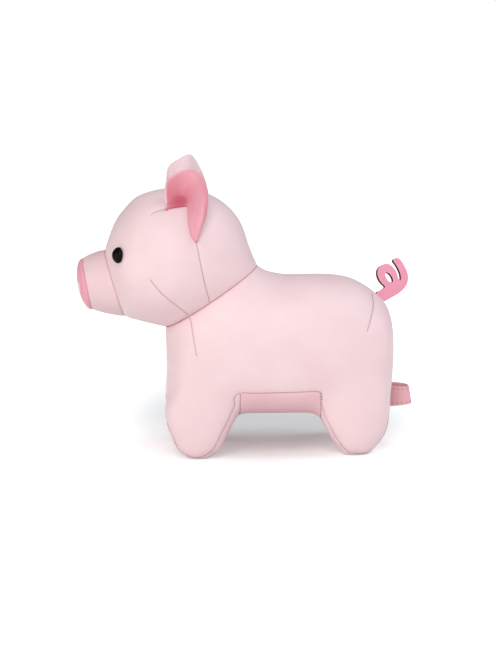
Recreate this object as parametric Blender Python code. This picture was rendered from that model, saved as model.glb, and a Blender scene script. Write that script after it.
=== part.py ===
# Small stuffed toy pig, sewn from faux leather panels over soft filling.
# Metres, +Z up. The nose points to -X, the toy's left side is at -Y, and the soles stand on Z = 0.
import bmesh
import bpy
import numpy as np
from math import cos, pi, radians, sin, sqrt
from mathutils import Matrix, Vector
from mathutils.bvhtree import BVHTree

# Cover and clearances
COVER_THICKNESS = 0.0010
SEAM_GAP = 0.0003
FILLING_GAP = 0.0003
OVERRUN = 0.006

# Torso
TORSO_FRONT_X = -0.0358
TORSO_LENGTH = 0.1024
BELLY_HEIGHT = 0.0164
TORSO_DEPTH = 0.0624
TORSO_HALF_WIDTH = 0.0333
# Each row: top x, top z, bottom x, bottom z, half-width, from the neck seam to the rump
TORSO_SECTION_SHARES = (
    (0.411, 1.072, 0.000, 0.642, 0.780),
    (0.436, 1.037, 0.002, 0.484, 0.879),
    (0.475, 1.013, 0.002, 0.307, 0.939),
    (0.534, 0.995, 0.006, 0.144, 0.985),
    (0.603, 0.992, 0.106, 0.051, 1.000),
    (0.672, 0.992, 0.263, 0.022, 1.000),
    (0.741, 0.986, 0.421, 0.016, 1.000),
    (0.815, 0.962, 0.558, 0.012, 0.990),
    (0.878, 0.911, 0.687, 0.005, 0.970),
    (0.931, 0.846, 0.795, 0.000, 0.924),
    (0.970, 0.777, 0.908, 0.004, 0.848),
    (0.991, 0.688, 0.965, 0.035, 0.697),
    (0.999, 0.574, 0.985, 0.203, 0.394),
)
TORSO_END_SHARES = (1.000, 0.444)
TORSO_ROUND = 2.3
BELLY_ROUND = 3.3
TORSO_SIDES = 28

# Legs: each row holds height, front, back, inner side and outer side
LEG_INNER_Y = 0.0070
LEG_WIDTH = 0.0250
LEG_ROUND = 2.6
LEG_SIDES = 20
FRONT_LEG_X = -0.0356
FRONT_LEG_LENGTH = 0.0336
FRONT_LEG_HEIGHT = 0.0360
FRONT_LEG_SECTION_SHARES = (
    (0.000, 0.270, 0.552, 0.28, 0.76),
    (0.022, 0.228, 0.572, 0.22, 0.81),
    (0.111, 0.112, 0.697, 0.12, 0.90),
    (0.244, 0.054, 0.774, 0.06, 0.95),
    (0.378, -0.004, 0.847, 0.03, 0.97),
    (0.500, -0.024, 0.918, 0.02, 0.975),
    (0.667, -0.020, 0.995, 0.04, 0.975),
    (0.833, 0.083, 0.955, 0.18, 0.965),
    (1.000, 0.240, 0.818, 0.36, 0.90),
)
REAR_LEG_X = 0.0300
REAR_LEG_LENGTH = 0.0338
REAR_LEG_HEIGHT = 0.0440
REAR_LEG_SECTION_SHARES = (
    (0.000, 0.359, 0.700, 0.28, 0.76),
    (0.018, 0.342, 0.724, 0.22, 0.81),
    (0.091, 0.268, 0.822, 0.12, 0.90),
    (0.200, 0.175, 0.922, 0.06, 0.95),
    (0.309, 0.100, 0.966, 0.03, 0.97),
    (0.409, 0.040, 0.988, 0.02, 0.975),
    (0.545, 0.002, 0.997, 0.04, 0.975),
    (0.705, 0.047, 0.994, 0.16, 0.96),
    (0.864, 0.163, 0.914, 0.28, 0.88),
    (1.000, 0.337, 0.778, 0.38, 0.74),
)

# Seams between the side panels and the underside panels
BELLY_SEAM_HEIGHT = 0.0304
LEG_SEAM_HEIGHT = 0.0165
SOLE_SEAM_HALF_WIDTH = 0.0280
BELLY_SEAM_HALF_WIDTH = 0.0315
BELLY_PANEL_FRONT_X = -0.0034
BELLY_PANEL_BACK_X = 0.0320

# Head
HEAD_FRONT_X = -0.0620
HEAD_LENGTH = 0.0683
CHIN_HEIGHT = 0.0565
HEAD_DEPTH = 0.0621
HEAD_HALF_WIDTH = 0.0363
# Rows as for the torso, from the muzzle seam; the neck seam follows the torso's first row
HEAD_SECTION_SHARES = (
    (0.000, 0.564, 0.124, 0.079, 0.500),
    (0.064, 0.745, 0.157, 0.066, 0.722),
    (0.134, 0.854, 0.201, 0.054, 0.861),
    (0.230, 0.946, 0.246, 0.040, 0.944),
    (0.392, 0.994, 0.290, 0.028, 1.000),
    (0.563, 0.991, 0.327, 0.017, 1.014),
    (0.703, 0.943, 0.349, 0.011, 1.000),
    (0.819, 0.854, 0.363, 0.006, 0.958),
    (0.900, 0.731, 0.373, 0.002, 0.903),
    (0.952, 0.558, 0.380, 0.001, 0.819),
)
HEAD_ROUND = 2.15
HEAD_SIDES = 28

# Muzzle: the band runs from the head's first section to the nose disc's seam
DISC_TOP_X = -0.0718
DISC_TOP_Z = 0.0882
DISC_BOTTOM_X = -0.0680
DISC_BOTTOM_Z = 0.0646
DISC_HALF_WIDTH = 0.0131
DISC_DOME = 0.0045
DISC_RING_SHARES = (0.92, 0.72, 0.40)
BAND_SWELL_SHARE = 0.025

# Eyes
EYE_X = -0.0543
EYE_Z = 0.0915
EYE_RADIUS = 0.00375
EYE_HEIGHT = 0.0030
EYE_RIM = 0.0004
EYE_SHANK_RADIUS = 0.0012
EYE_SHANK_LENGTH = 0.0052
EYE_SIDES = 16
EYE_RING_SHARES = (0.38, 0.71, 0.92)
WASHER_RADIUS = 0.0045
WASHER_THICKNESS = 0.0010
WASHER_SEAT_GAP = 0.0016
POCKET_DEPTH = 0.0058

# Ears: base and rim run from the front edge, round the corner, to the lower tip
EAR_BASE_X = -0.0332
EAR_BASE_Y = 0.0190
EAR_TIP_Z = 0.0988
EAR_LENGTH = 0.0175
EAR_SPREAD = 0.0150
EAR_RISE = 0.0321
EAR_LEAF = 0.0009
EAR_SINK = 0.0030
# Each row: back, outward and up, as shares of the ear's length, spread and rise
EAR_BASE_SHARES = (
    (0.00, 0.00, 0.400),
    (0.20, 0.02, 0.430),
    (0.42, 0.05, 0.430),
    (0.58, 0.20, 0.390),
    (0.64, 0.50, 0.270),
    (0.67, 0.75, 0.130),
    (0.73, 0.96, 0.000),
)
EAR_RIM_SHARES = (
    (-0.06, -0.05, 0.710),
    (0.10, 0.00, 0.880),
    (0.58, 0.12, 1.000),
    (0.86, 0.36, 0.860),
    (1.00, 0.70, 0.600),
    (0.98, 0.98, 0.330),
    (0.80, 1.04, 0.050),
)
EAR_STEPS = 12
EAR_RINGS = 5
EAR_CUP_SHARE = 0.16

# Tail: a flat curl cut from layered sheet, on its root line at the rump's centre seam
TAIL_ROOT_X = 0.0613
TAIL_ROOT_Z = 0.0679
TAIL_LENGTH = 0.0178
TAIL_LEAN = radians(21)
TAIL_CORE = 0.0008
TAIL_FACE = 0.0006
TAIL_LAYER_GAP = 0.0003
TAIL_ROOT_GAP = 0.0012
TAIL_OUTLINE_SHARES = (
    (-0.095, 0.110), (0.013, 0.172), (0.129, 0.257), (0.047, 0.358), (-0.018, 0.469),
    (-0.055, 0.588), (-0.045, 0.707), (0.026, 0.808), (0.152, 0.871), (0.284, 0.861),
    (0.390, 0.775), (0.470, 0.646), (0.510, 0.480), (0.540, 0.445), (0.575, 0.485),
    (0.565, 0.622), (0.525, 0.728), (0.465, 0.848), (0.404, 0.938), (0.415, 0.993),
    (0.481, 1.020), (0.546, 1.014), (0.622, 0.940), (0.696, 0.808), (0.754, 0.668),
    (0.775, 0.522), (0.743, 0.376), (0.664, 0.244), (0.554, 0.132), (0.433, 0.034),
    (0.276, -0.050), (0.100, -0.106),
)
TAIL_HOLE_SHARES = (0.255, 0.522)
TAIL_HOLE_LONG = 0.0026
TAIL_HOLE_SHORT = 0.0013
TAIL_HOLE_TILT = radians(-57)
TAIL_HOLE_SIDES = 14

# Loop tag: a folded strap sewn in at the rump's centre seam
TAG_END_X = 0.0750
TAG_ROOT_X = 0.0657
TAG_ROOT_SLANT = 0.0010
TAG_FOLD_SLANT = 0.0012
TAG_BOTTOM_Z = 0.0180
TAG_TOP_Z = 0.0276
TAG_END_DROP = 0.0008
TAG_SKEW = 0.0006
TAG_STRAP = 0.0009
TAG_BULGE = 0.0033
TAG_BULGE_POWER = 0.6
TAG_ROOT_HALF_GAP = 0.0003
TAG_STEPS = 11


def clear_scene():
    for item in list(bpy.data.objects):
        bpy.data.objects.remove(item, do_unlink=True)


# Rings and lofts

def power_curve(value, power):
    """One coordinate of a superellipse for the cosine or sine of its angle."""
    return (1 if value >= 0 else -1) * abs(value) ** (2 / power)


def fan_ring(top, bottom, half_width, top_round, low_round, sides):
    """Section through a top and a bottom point, from the top down the left side and back up."""
    middle = (top + bottom) / 2
    half = (top - bottom) / 2
    ring = []
    for step in range(sides):
        angle = 2 * pi * step / sides
        power = top_round if cos(angle) >= 0 else low_round
        across = -half_width * power_curve(sin(angle), power)
        ring.append(middle + half * power_curve(cos(angle), power) + Vector((0, across, 0)))
    return ring


def ring_normal(ring):
    """Unit normal of a ring's plane, by Newell's sum."""
    total = Vector((0, 0, 0))
    for first, second in zip(ring, ring[1:] + ring[:1]):
        total += first.cross(second)
    return total.normalized()


def ring_middle(ring):
    return sum(ring, Vector((0, 0, 0))) / len(ring)


def shift_ring(ring, offset):
    return [point + offset for point in ring]


def inset_rings(rings, distance, flat=()):
    """Rings moved inwards by a distance; those numbered in flat stay in their own plane."""
    if distance == 0:
        return [list(ring) for ring in rings]
    grid = np.array([[tuple(point) for point in ring] for ring in rings])
    along = np.gradient(grid, axis=0)
    round_ring = np.roll(grid, -1, axis=1) - np.roll(grid, 1, axis=1)
    normals = np.cross(round_ring, along)
    for number in flat:
        plane = np.array(ring_normal(rings[number]))
        normals[number] -= np.outer(normals[number] @ plane, plane)
    normals /= np.linalg.norm(normals, axis=2, keepdims=True)
    outward = np.sum(normals * (grid - grid.mean(axis=1, keepdims=True)))
    moved = grid - normals * distance * np.sign(outward)
    return [[Vector(point) for point in ring] for ring in moved]


def add_rings(mesh, rings):
    return [[mesh.verts.new(point) for point in ring] for ring in rings]


def bridge(mesh, first, second, closed=True):
    """Quads between two rows of vertices."""
    count = len(first) if closed else len(first) - 1
    for step in range(count):
        after = (step + 1) % len(first)
        mesh.faces.new((first[step], first[after], second[after], second[step]))


def fan_to_point(mesh, ring, point):
    tip = mesh.verts.new(point)
    for first, second in zip(ring, ring[1:] + ring[:1]):
        mesh.faces.new((first, second, tip))


def finish_mesh(mesh, name):
    bmesh.ops.triangulate(mesh, faces=mesh.faces[:])
    bmesh.ops.recalc_face_normals(mesh, faces=mesh.faces[:])
    data = bpy.data.meshes.new(name)
    mesh.to_mesh(data)
    mesh.free()
    return data


def solid_mesh(name, rings, start=None, end=None):
    """Closed loft of rings; each end is a point where one is given, and otherwise a flat cap."""
    mesh = bmesh.new()
    rows = add_rings(mesh, rings)
    for first, second in zip(rows, rows[1:]):
        bridge(mesh, first, second)
    for row, point in ((rows[0], start), (rows[-1], end)):
        if point is None:
            mesh.faces.new(row)
        else:
            fan_to_point(mesh, row, point)
    return finish_mesh(mesh, name)


def tube_mesh(name, outer, inner):
    """Open-ended cover between an outer and an inner loft of closed rings."""
    mesh = bmesh.new()
    rows = add_rings(mesh, outer + inner[::-1])
    for first, second in zip(rows, rows[1:] + rows[:1]):
        bridge(mesh, first, second)
    return finish_mesh(mesh, name)


def sheet_mesh(name, outer, inner):
    """Closed sheet between two open grids of points."""
    mesh = bmesh.new()
    outer_rows = add_rings(mesh, outer)
    inner_rows = add_rings(mesh, inner)
    for rows in (outer_rows, inner_rows):
        for first, second in zip(rows, rows[1:]):
            bridge(mesh, first, second, closed=False)
    for number in (0, -1):
        bridge(mesh, outer_rows[number], inner_rows[number], closed=False)
        edge = [row[number] for row in outer_rows]
        bridge(mesh, edge, [row[number] for row in inner_rows], closed=False)
    return finish_mesh(mesh, name)


def box_mesh(name, low, high):
    """Box between two corners."""
    mesh = bmesh.new()
    bmesh.ops.create_cube(mesh, size=1)
    size = Vector(high) - Vector(low)
    middle = (Vector(high) + Vector(low)) / 2
    bmesh.ops.transform(mesh, matrix=Matrix.Translation(middle) @ Matrix.Diagonal((*size, 1)),
                        verts=mesh.verts[:])
    return finish_mesh(mesh, name)


def cut_mesh(name, base, steps):
    """Base mesh after a list of Boolean steps, each an operation and the other mesh."""
    body = bpy.data.objects.new(name, base)
    bpy.context.scene.collection.objects.link(body)
    others = []
    for operation, other in steps:
        tool = bpy.data.objects.new("cutter", other)
        tool.hide_render = True
        tool.display_type = "WIRE"
        bpy.context.scene.collection.objects.link(tool)
        others.append(tool)
        modifier = body.modifiers.new(operation.lower(), "BOOLEAN")
        modifier.solver = "EXACT"
        modifier.operation = operation
        modifier.object = tool
    graph = bpy.context.evaluated_depsgraph_get()
    result = bpy.data.meshes.new_from_object(body.evaluated_get(graph))
    result.name = name
    for item in [body] + others:
        bpy.data.objects.remove(item, do_unlink=True)
    return result


def mirrored(name, base):
    """Copy of a left-hand mesh for the right side."""
    mesh = bmesh.new()
    mesh.from_mesh(base)
    bmesh.ops.scale(mesh, vec=(1, -1, 1), verts=mesh.verts[:])
    bmesh.ops.reverse_faces(mesh, faces=mesh.faces[:])
    data = bpy.data.meshes.new(name)
    mesh.to_mesh(data)
    mesh.free()
    return data


# Materials and parts

def material(name, colour, roughness, metallic=0.0):
    item = bpy.data.materials.new(name)
    item.use_nodes = True
    shader = item.node_tree.nodes["Principled BSDF"]
    shader.inputs["Base Color"].default_value = (*colour, 1)
    shader.inputs["Roughness"].default_value = roughness
    shader.inputs["Metallic"].default_value = metallic
    return item


def make_materials():
    return {
        "cover": material("cover_pink", (0.91, 0.72, 0.74), 0.45),
        "ear": material("ear_pink", (0.85, 0.35, 0.44), 0.50),
        "tail_face": material("tail_pink", (0.87, 0.38, 0.49), 0.50),
        "tail_core": material("tail_core_brown", (0.05, 0.02, 0.02), 0.70),
        "tag": material("tag_pink", (0.72, 0.36, 0.40), 0.50),
        "eye": material("eye_black", (0.012, 0.007, 0.007), 0.12),
        "washer": material("washer_white", (0.80, 0.80, 0.78), 0.45),
        "filling": material("filling_white", (0.88, 0.87, 0.84), 0.90),
    }


def add_part(name, mesh, finish, parent):
    part = bpy.data.objects.new(name, mesh)
    part.data.name = name
    part.data.materials.clear()
    part.data.materials.append(finish)
    part.data.shade_smooth()
    part.data.set_sharp_from_angle(angle=radians(40))
    bpy.context.scene.collection.objects.link(part)
    part.parent = parent
    part.matrix_parent_inverse = parent.matrix_world.inverted()
    return part


def add_pair(name, left_mesh, finish, parent):
    """A left piece and its mirrored right piece."""
    add_part(name + "_right", mirrored(name + "_right", left_mesh), finish, parent)
    add_part(name + "_left", left_mesh, finish, parent)


def add_frame(name, place):
    frame = bpy.data.objects.new(name, None)
    bpy.context.scene.collection.objects.link(frame)
    frame.matrix_world = place
    bpy.context.view_layer.update()
    return frame


# Torso and legs

def torso_point(along, up):
    return Vector((TORSO_FRONT_X + along * TORSO_LENGTH, 0, BELLY_HEIGHT + up * TORSO_DEPTH))


def torso_rings():
    rings = []
    for top_x, top_z, low_x, low_z, width in TORSO_SECTION_SHARES:
        rings.append(fan_ring(torso_point(top_x, top_z), torso_point(low_x, low_z),
                              width * TORSO_HALF_WIDTH, TORSO_ROUND, BELLY_ROUND, TORSO_SIDES))
    return rings


def neck_normal():
    """Unit vector from the head into the torso, square to the neck seam."""
    normal = ring_normal(torso_rings()[0])
    return normal if normal.x > 0 else -normal


def torso_mesh(name, inset, neck_reach):
    """Torso loft moved inwards; neck_reach moves its open end towards the head."""
    rings = inset_rings(torso_rings(), inset, flat=(0,))
    rings[0] = shift_ring(rings[0], neck_normal() * SEAM_GAP / 2)
    if neck_reach:
        rings.insert(0, shift_ring(rings[0], -neck_normal() * neck_reach))
    end = torso_point(*TORSO_END_SHARES)
    end.x -= inset
    return solid_mesh(name, rings, end=end)


def leg_rings(start_x, length, height, shares):
    rings = []
    for up, front, back, inner, outer in shares:
        low = Vector((start_x + front * length, -(LEG_INNER_Y + outer * LEG_WIDTH), up * height))
        high = Vector((start_x + back * length, -(LEG_INNER_Y + inner * LEG_WIDTH), up * height))
        middle, half = (low + high) / 2, (high - low) / 2
        ring = []
        for step in range(LEG_SIDES):
            angle = 2 * pi * step / LEG_SIDES
            reach = Vector((half.x * power_curve(cos(angle), LEG_ROUND),
                            half.y * power_curve(sin(angle), LEG_ROUND), 0))
            ring.append(middle + reach)
        rings.append(ring)
    return rings


def leg_mesh(name, leg, inset):
    rings = inset_rings(leg_rings(*leg), inset, flat=(0, len(leg[-1]) - 1))
    rings[0] = shift_ring(rings[0], Vector((0, 0, inset)))
    rings[-1] = shift_ring(rings[-1], Vector((0, 0, -inset)))
    return solid_mesh(name, rings)


FRONT_LEG = (FRONT_LEG_X, FRONT_LEG_LENGTH, FRONT_LEG_HEIGHT, FRONT_LEG_SECTION_SHARES)
REAR_LEG = (REAR_LEG_X, REAR_LEG_LENGTH, REAR_LEG_HEIGHT, REAR_LEG_SECTION_SHARES)


def body_mesh(name, inset, neck_reach):
    """Torso with its four legs, moved inwards."""
    steps = []
    for leg in (FRONT_LEG, REAR_LEG):
        left = leg_mesh("leg", leg, inset)
        steps += [("UNION", left), ("UNION", mirrored("leg", left))]
    return cut_mesh(name, torso_mesh(name, inset, neck_reach), steps)


def underside_region(margin):
    """Space under the belly seam, which the underside panels fill."""
    front = TORSO_FRONT_X - OVERRUN
    back = TORSO_FRONT_X + TORSO_LENGTH + OVERRUN
    outline = (
        (front, -OVERRUN),
        (front, LEG_SEAM_HEIGHT + margin),
        (TORSO_FRONT_X, LEG_SEAM_HEIGHT + margin),
        (BELLY_PANEL_FRONT_X, BELLY_SEAM_HEIGHT + margin),
        (BELLY_PANEL_BACK_X, BELLY_SEAM_HEIGHT + margin),
        (back - OVERRUN, LEG_SEAM_HEIGHT + margin),
        (back, LEG_SEAM_HEIGHT + margin),
        (back, -OVERRUN),
    )
    slope = (BELLY_SEAM_HALF_WIDTH - SOLE_SEAM_HALF_WIDTH) / BELLY_SEAM_HEIGHT
    sides = []
    for side in (-1, 1):
        sides.append([Vector((x, side * (SOLE_SEAM_HALF_WIDTH + slope * z + margin), z))
                      for x, z in outline])
    return solid_mesh("underside", sides)


def space_between(low_x, high_x, low_y, high_y):
    return box_mesh("space", (low_x, low_y, -OVERRUN), (high_x, high_y, HEAD_DEPTH + CHIN_HEIGHT))


def make_body(finish, toy):
    outer = body_mesh("body_outer", 0, 0)
    inner = body_mesh("body_inner", COVER_THICKNESS, OVERRUN)
    far_x = TORSO_FRONT_X + TORSO_LENGTH + OVERRUN
    near_x = TORSO_FRONT_X - OVERRUN
    far_y = TORSO_HALF_WIDTH + OVERRUN
    half_gap = SEAM_GAP / 2
    side = cut_mesh("side", outer, [
        ("INTERSECT", space_between(near_x, far_x, -far_y, -half_gap)),
        ("DIFFERENCE", underside_region(half_gap)),
        ("DIFFERENCE", inner),
    ])
    add_pair("body_side", side, finish["cover"], toy)
    under = cut_mesh("under", outer, [
        ("INTERSECT", underside_region(-half_gap)),
        ("DIFFERENCE", inner),
    ])
    belly = cut_mesh("belly", under, [
        ("INTERSECT", space_between(BELLY_PANEL_FRONT_X + half_gap, BELLY_PANEL_BACK_X - half_gap,
                                    -far_y, far_y)),
    ])
    add_part("belly_panel", belly, finish["cover"], toy)
    for name, low_x, high_x in (
        ("front_leg_gusset", near_x, BELLY_PANEL_FRONT_X - half_gap),
        ("rear_leg_gusset", BELLY_PANEL_BACK_X + half_gap, far_x),
    ):
        gusset = cut_mesh(name, under, [
            ("INTERSECT", space_between(low_x, high_x, -far_y, -half_gap)),
        ])
        add_pair(name, gusset, finish["cover"], toy)


def make_body_filling(finish, toy):
    inset = COVER_THICKNESS + FILLING_GAP
    add_part("torso_filling", torso_mesh("torso_filling", inset, 0), finish["filling"], toy)
    core = torso_mesh("torso_core", COVER_THICKNESS, OVERRUN)
    for name, leg in (("front_leg_filling", FRONT_LEG), ("rear_leg_filling", REAR_LEG)):
        filling = cut_mesh(name, leg_mesh(name, leg, inset), [("DIFFERENCE", core)])
        add_pair(name, filling, finish["filling"], toy)


# Head and muzzle

def head_point(along, up):
    return Vector((HEAD_FRONT_X + along * HEAD_LENGTH, 0, CHIN_HEIGHT + up * HEAD_DEPTH))


def head_rings():
    """Sections from the muzzle seam to the neck seam, which the torso shares."""
    rings = []
    for top_x, top_z, low_x, low_z, width in HEAD_SECTION_SHARES:
        rings.append(fan_ring(head_point(top_x, top_z), head_point(low_x, low_z),
                              width * HEAD_HALF_WIDTH, HEAD_ROUND, HEAD_ROUND, HEAD_SIDES))
    top_x, top_z, low_x, low_z, width = TORSO_SECTION_SHARES[0]
    rings.append(fan_ring(torso_point(top_x, top_z), torso_point(low_x, low_z),
                          width * TORSO_HALF_WIDTH, HEAD_ROUND, HEAD_ROUND, HEAD_SIDES))
    return rings


def seam_ends(rings, inset):
    """Rings moved inwards, with both end rings drawn back from their seams by half a gap."""
    moved = inset_rings(rings, inset, flat=(0, len(rings) - 1))
    for end, near in ((0, 1), (-1, -2)):
        normal = ring_normal(rings[end])
        if normal.dot(ring_middle(rings[near]) - ring_middle(rings[end])) < 0:
            normal = -normal
        moved[end] = shift_ring(moved[end], normal * SEAM_GAP / 2)
    return moved


def left_half(rings):
    """Left-hand points of each ring, held half a seam gap off the centre plane."""
    halves = []
    for ring in rings:
        half = ring[:len(ring) // 2 + 1]
        halves.append([Vector((p.x, min(p.y, -SEAM_GAP / 2), p.z)) for p in half])
    return halves


def muzzle_rings():
    """Sections from the head seam to the nose disc's seam, with a slightly swollen middle."""
    head = head_rings()[0]
    disc = fan_ring(Vector((DISC_TOP_X, 0, DISC_TOP_Z)), Vector((DISC_BOTTOM_X, 0, DISC_BOTTOM_Z)),
                    DISC_HALF_WIDTH, HEAD_ROUND, HEAD_ROUND, HEAD_SIDES)
    halfway = [(first + second) / 2 for first, second in zip(head, disc)]
    middle = ring_middle(halfway)
    swollen = [point + (point - middle) * BAND_SWELL_SHARE for point in halfway]
    return [head, swollen, disc]


def disc_forward():
    """Unit vector out of the nose disc."""
    normal = ring_normal(muzzle_rings()[-1])
    return normal if normal.x < 0 else -normal


def disc_rings():
    """Rings of the domed nose disc, from its seam inwards."""
    rim = muzzle_rings()[-1]
    middle = ring_middle(rim)
    rings = [rim]
    for share in DISC_RING_SHARES:
        rise = disc_forward() * DISC_DOME * sqrt(1 - share * share)
        rings.append([middle + (point - middle) * share + rise for point in rim])
    return rings


def disc_pole():
    return ring_middle(muzzle_rings()[-1]) + disc_forward() * DISC_DOME


def make_head(finish, toy):
    inset = COVER_THICKNESS + FILLING_GAP
    rings = head_rings()
    outer = seam_ends(rings, 0)
    side = sheet_mesh("head_side", left_half(outer), left_half(seam_ends(rings, COVER_THICKNESS)))
    outside = solid_mesh("head_outside", outer)
    seat = eye_seat(outside)
    hole = lathe_mesh("hole", [(EYE_SHANK_RADIUS + FILLING_GAP, OVERRUN),
                               (EYE_SHANK_RADIUS + FILLING_GAP, -OVERRUN)], seat)
    side = cut_mesh("head_side", side, [("DIFFERENCE", hole)])
    add_pair("head_side", side, finish["cover"], toy)
    pocket = lathe_mesh("pocket", [(WASHER_RADIUS + FILLING_GAP, OVERRUN),
                                   (WASHER_RADIUS + FILLING_GAP, -POCKET_DEPTH)], seat)
    filling = solid_mesh("head_filling", seam_ends(rings, inset))
    filling = cut_mesh("head_filling", filling, [
        ("DIFFERENCE", pocket),
        ("DIFFERENCE", mirrored("pocket", pocket)),
    ])
    add_part("head_filling", filling, finish["filling"], toy)
    make_eyes(finish, toy, seat)
    make_ears(finish, toy, outside)


def make_muzzle(finish, toy):
    inset = COVER_THICKNESS + FILLING_GAP
    band = muzzle_rings()
    cover = tube_mesh("muzzle_band", seam_ends(band, 0), seam_ends(band, COVER_THICKNESS))
    add_part("muzzle_band", cover, finish["cover"], toy)
    forward = disc_forward()
    rings = disc_rings()
    outer = [shift_ring(rings[0], forward * SEAM_GAP / 2)] + rings[1:]
    inner = [[point - forward * COVER_THICKNESS for point in ring] for ring in rings[1:]]
    rim = inset_rings(rings, COVER_THICKNESS, flat=(0,))[0]
    inner.insert(0, shift_ring(rim, forward * SEAM_GAP / 2))
    mesh = bmesh.new()
    outer_rows = add_rings(mesh, outer)
    inner_rows = add_rings(mesh, inner)
    for rows in (outer_rows, inner_rows):
        for first, second in zip(rows, rows[1:]):
            bridge(mesh, first, second)
    bridge(mesh, outer_rows[0], inner_rows[0])
    fan_to_point(mesh, outer_rows[-1], disc_pole())
    fan_to_point(mesh, inner_rows[-1], disc_pole() - forward * COVER_THICKNESS)
    add_part("nose_disc", finish_mesh(mesh, "nose_disc"), finish["ear"], toy)
    core = seam_ends(band, inset)
    dome = [[point - forward * inset for point in ring] for ring in rings[1:]]
    middle = ring_middle(rings[0])
    dome[0] = [middle + (point - middle) * (1 - inset / DISC_HALF_WIDTH) for point in dome[0]]
    filling = solid_mesh("muzzle_filling", core[:-1] + dome, end=disc_pole() - forward * inset)
    add_part("muzzle_filling", filling, finish["filling"], toy)


# Eyes

def eye_seat(outside):
    """Frame on the left cheek: its Z axis leaves the cover, its origin lies on it."""
    shape = bmesh.new()
    shape.from_mesh(outside)
    tree = BVHTree.FromBMesh(shape)
    start = Vector((EYE_X, -HEAD_HALF_WIDTH - OVERRUN, EYE_Z))
    place, normal, _, _ = tree.ray_cast(start, Vector((0, 1, 0)))
    shape.free()
    turn = Vector((0, 0, 1)).rotation_difference(normal).to_matrix().to_4x4()
    return Matrix.Translation(place) @ turn


def lathe_rings(profile, seat):
    """Circles of a profile of radius and height pairs, stood on a seat."""
    rings = []
    for radius, height in profile:
        rings.append([seat @ Vector((radius * cos(2 * pi * step / EYE_SIDES),
                                     radius * sin(2 * pi * step / EYE_SIDES), height))
                      for step in range(EYE_SIDES)])
    return rings


def lathe_mesh(name, profile, seat, pole=None):
    end = None if pole is None else seat @ Vector((0, 0, pole))
    return solid_mesh(name, lathe_rings(profile, seat), end=end)


def make_eyes(finish, toy, seat):
    base = SEAM_GAP
    profile = [(EYE_SHANK_RADIUS, -EYE_SHANK_LENGTH), (EYE_SHANK_RADIUS, base),
               (EYE_RADIUS, base), (EYE_RADIUS, base + EYE_RIM)]
    for share in EYE_RING_SHARES:
        profile.append((EYE_RADIUS * cos(share * pi / 2),
                        base + EYE_RIM + (EYE_HEIGHT - EYE_RIM) * sin(share * pi / 2)))
    add_pair("eye", lathe_mesh("eye", profile, seat, pole=base + EYE_HEIGHT), finish["eye"], toy)
    top = -(COVER_THICKNESS + WASHER_SEAT_GAP)
    low = top - WASHER_THICKNESS
    bore = EYE_SHANK_RADIUS + FILLING_GAP
    washer = tube_mesh("eye_washer",
                       lathe_rings([(WASHER_RADIUS, top), (WASHER_RADIUS, low)], seat),
                       lathe_rings([(bore, top), (bore, low)], seat))
    add_pair("eye_washer", washer, finish["washer"], toy)


# Ears

def smooth_points(points, count):
    """Points spaced evenly in parameter along a smooth curve through the given ones."""
    result = []
    last = len(points) - 1
    for step in range(count + 1):
        place = step * last / count
        number = min(int(place), last - 1)
        t = place - number
        before = points[max(number - 1, 0)]
        first, second = points[number], points[number + 1]
        after = points[min(number + 2, last)]
        result.append(((2 * first) + (second - before) * t
                       + (2 * before - 5 * first + 4 * second - after) * t * t
                       + (3 * first - before - 3 * second + after) * t * t * t) / 2)
    return result


def ear_point(back, outward, up):
    return Vector((EAR_BASE_X + back * EAR_LENGTH, -(EAR_BASE_Y + outward * EAR_SPREAD),
                   EAR_TIP_Z + up * EAR_RISE))


def ear_grid():
    """Cupped leaf from the base line to the rim, as rows from base to rim."""
    base = smooth_points([ear_point(*row) for row in EAR_BASE_SHARES], EAR_STEPS)
    rim = smooth_points([ear_point(*row) for row in EAR_RIM_SHARES], EAR_STEPS)
    rows = []
    for ring in range(EAR_RINGS + 1):
        t = ring / EAR_RINGS
        row = []
        for step, (low, high) in enumerate(zip(base, rim)):
            bow = EAR_CUP_SHARE * sin(pi * t) * sin(pi * step / EAR_STEPS)
            backward = Vector((bow * EAR_LENGTH, bow * EAR_SPREAD, 0))
            sink = Vector((0, EAR_SINK / 2, -EAR_SINK)) * (1 - t) ** 3
            row.append(low.lerp(high, t) + backward + sink)
        rows.append(row)
    return rows


def grid_normals(rows):
    grid = np.array([[tuple(point) for point in row] for row in rows])
    normals = np.cross(np.gradient(grid, axis=0), np.gradient(grid, axis=1))
    normals /= np.linalg.norm(normals, axis=2, keepdims=True)
    return [[Vector(normal) for normal in row] for row in normals]


def offset_grid(rows, normals, distance):
    return [[point + normal * distance for point, normal in zip(row, turned)]
            for row, turned in zip(rows, normals)]


def make_ears(finish, toy, outside):
    rows = ear_grid()
    normals = grid_normals(rows)
    if sum(normal.x for row in normals for normal in row) > 0:
        normals = [[-normal for normal in row] for row in normals]
    half_gap = SEAM_GAP / 2
    shape = bmesh.new()
    shape.from_mesh(outside)
    for vert in shape.verts:
        vert.co += vert.normal * SEAM_GAP
    grown = bpy.data.meshes.new("head_grown")
    shape.to_mesh(grown)
    shape.free()
    for name, near, far, look in (("ear_inner", half_gap, half_gap + EAR_LEAF, "ear"),
                                  ("ear_outer", -half_gap, -half_gap - EAR_LEAF, "cover")):
        leaf = sheet_mesh(name, offset_grid(rows, normals, near), offset_grid(rows, normals, far))
        leaf = cut_mesh(name, leaf, [("DIFFERENCE", grown)])
        add_pair(name, leaf, finish[look], toy)


# Tail and tag

def tail_outline():
    return [Vector((along * TAIL_LENGTH, 0, up * TAIL_LENGTH)) for along, up in TAIL_OUTLINE_SHARES]


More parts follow.
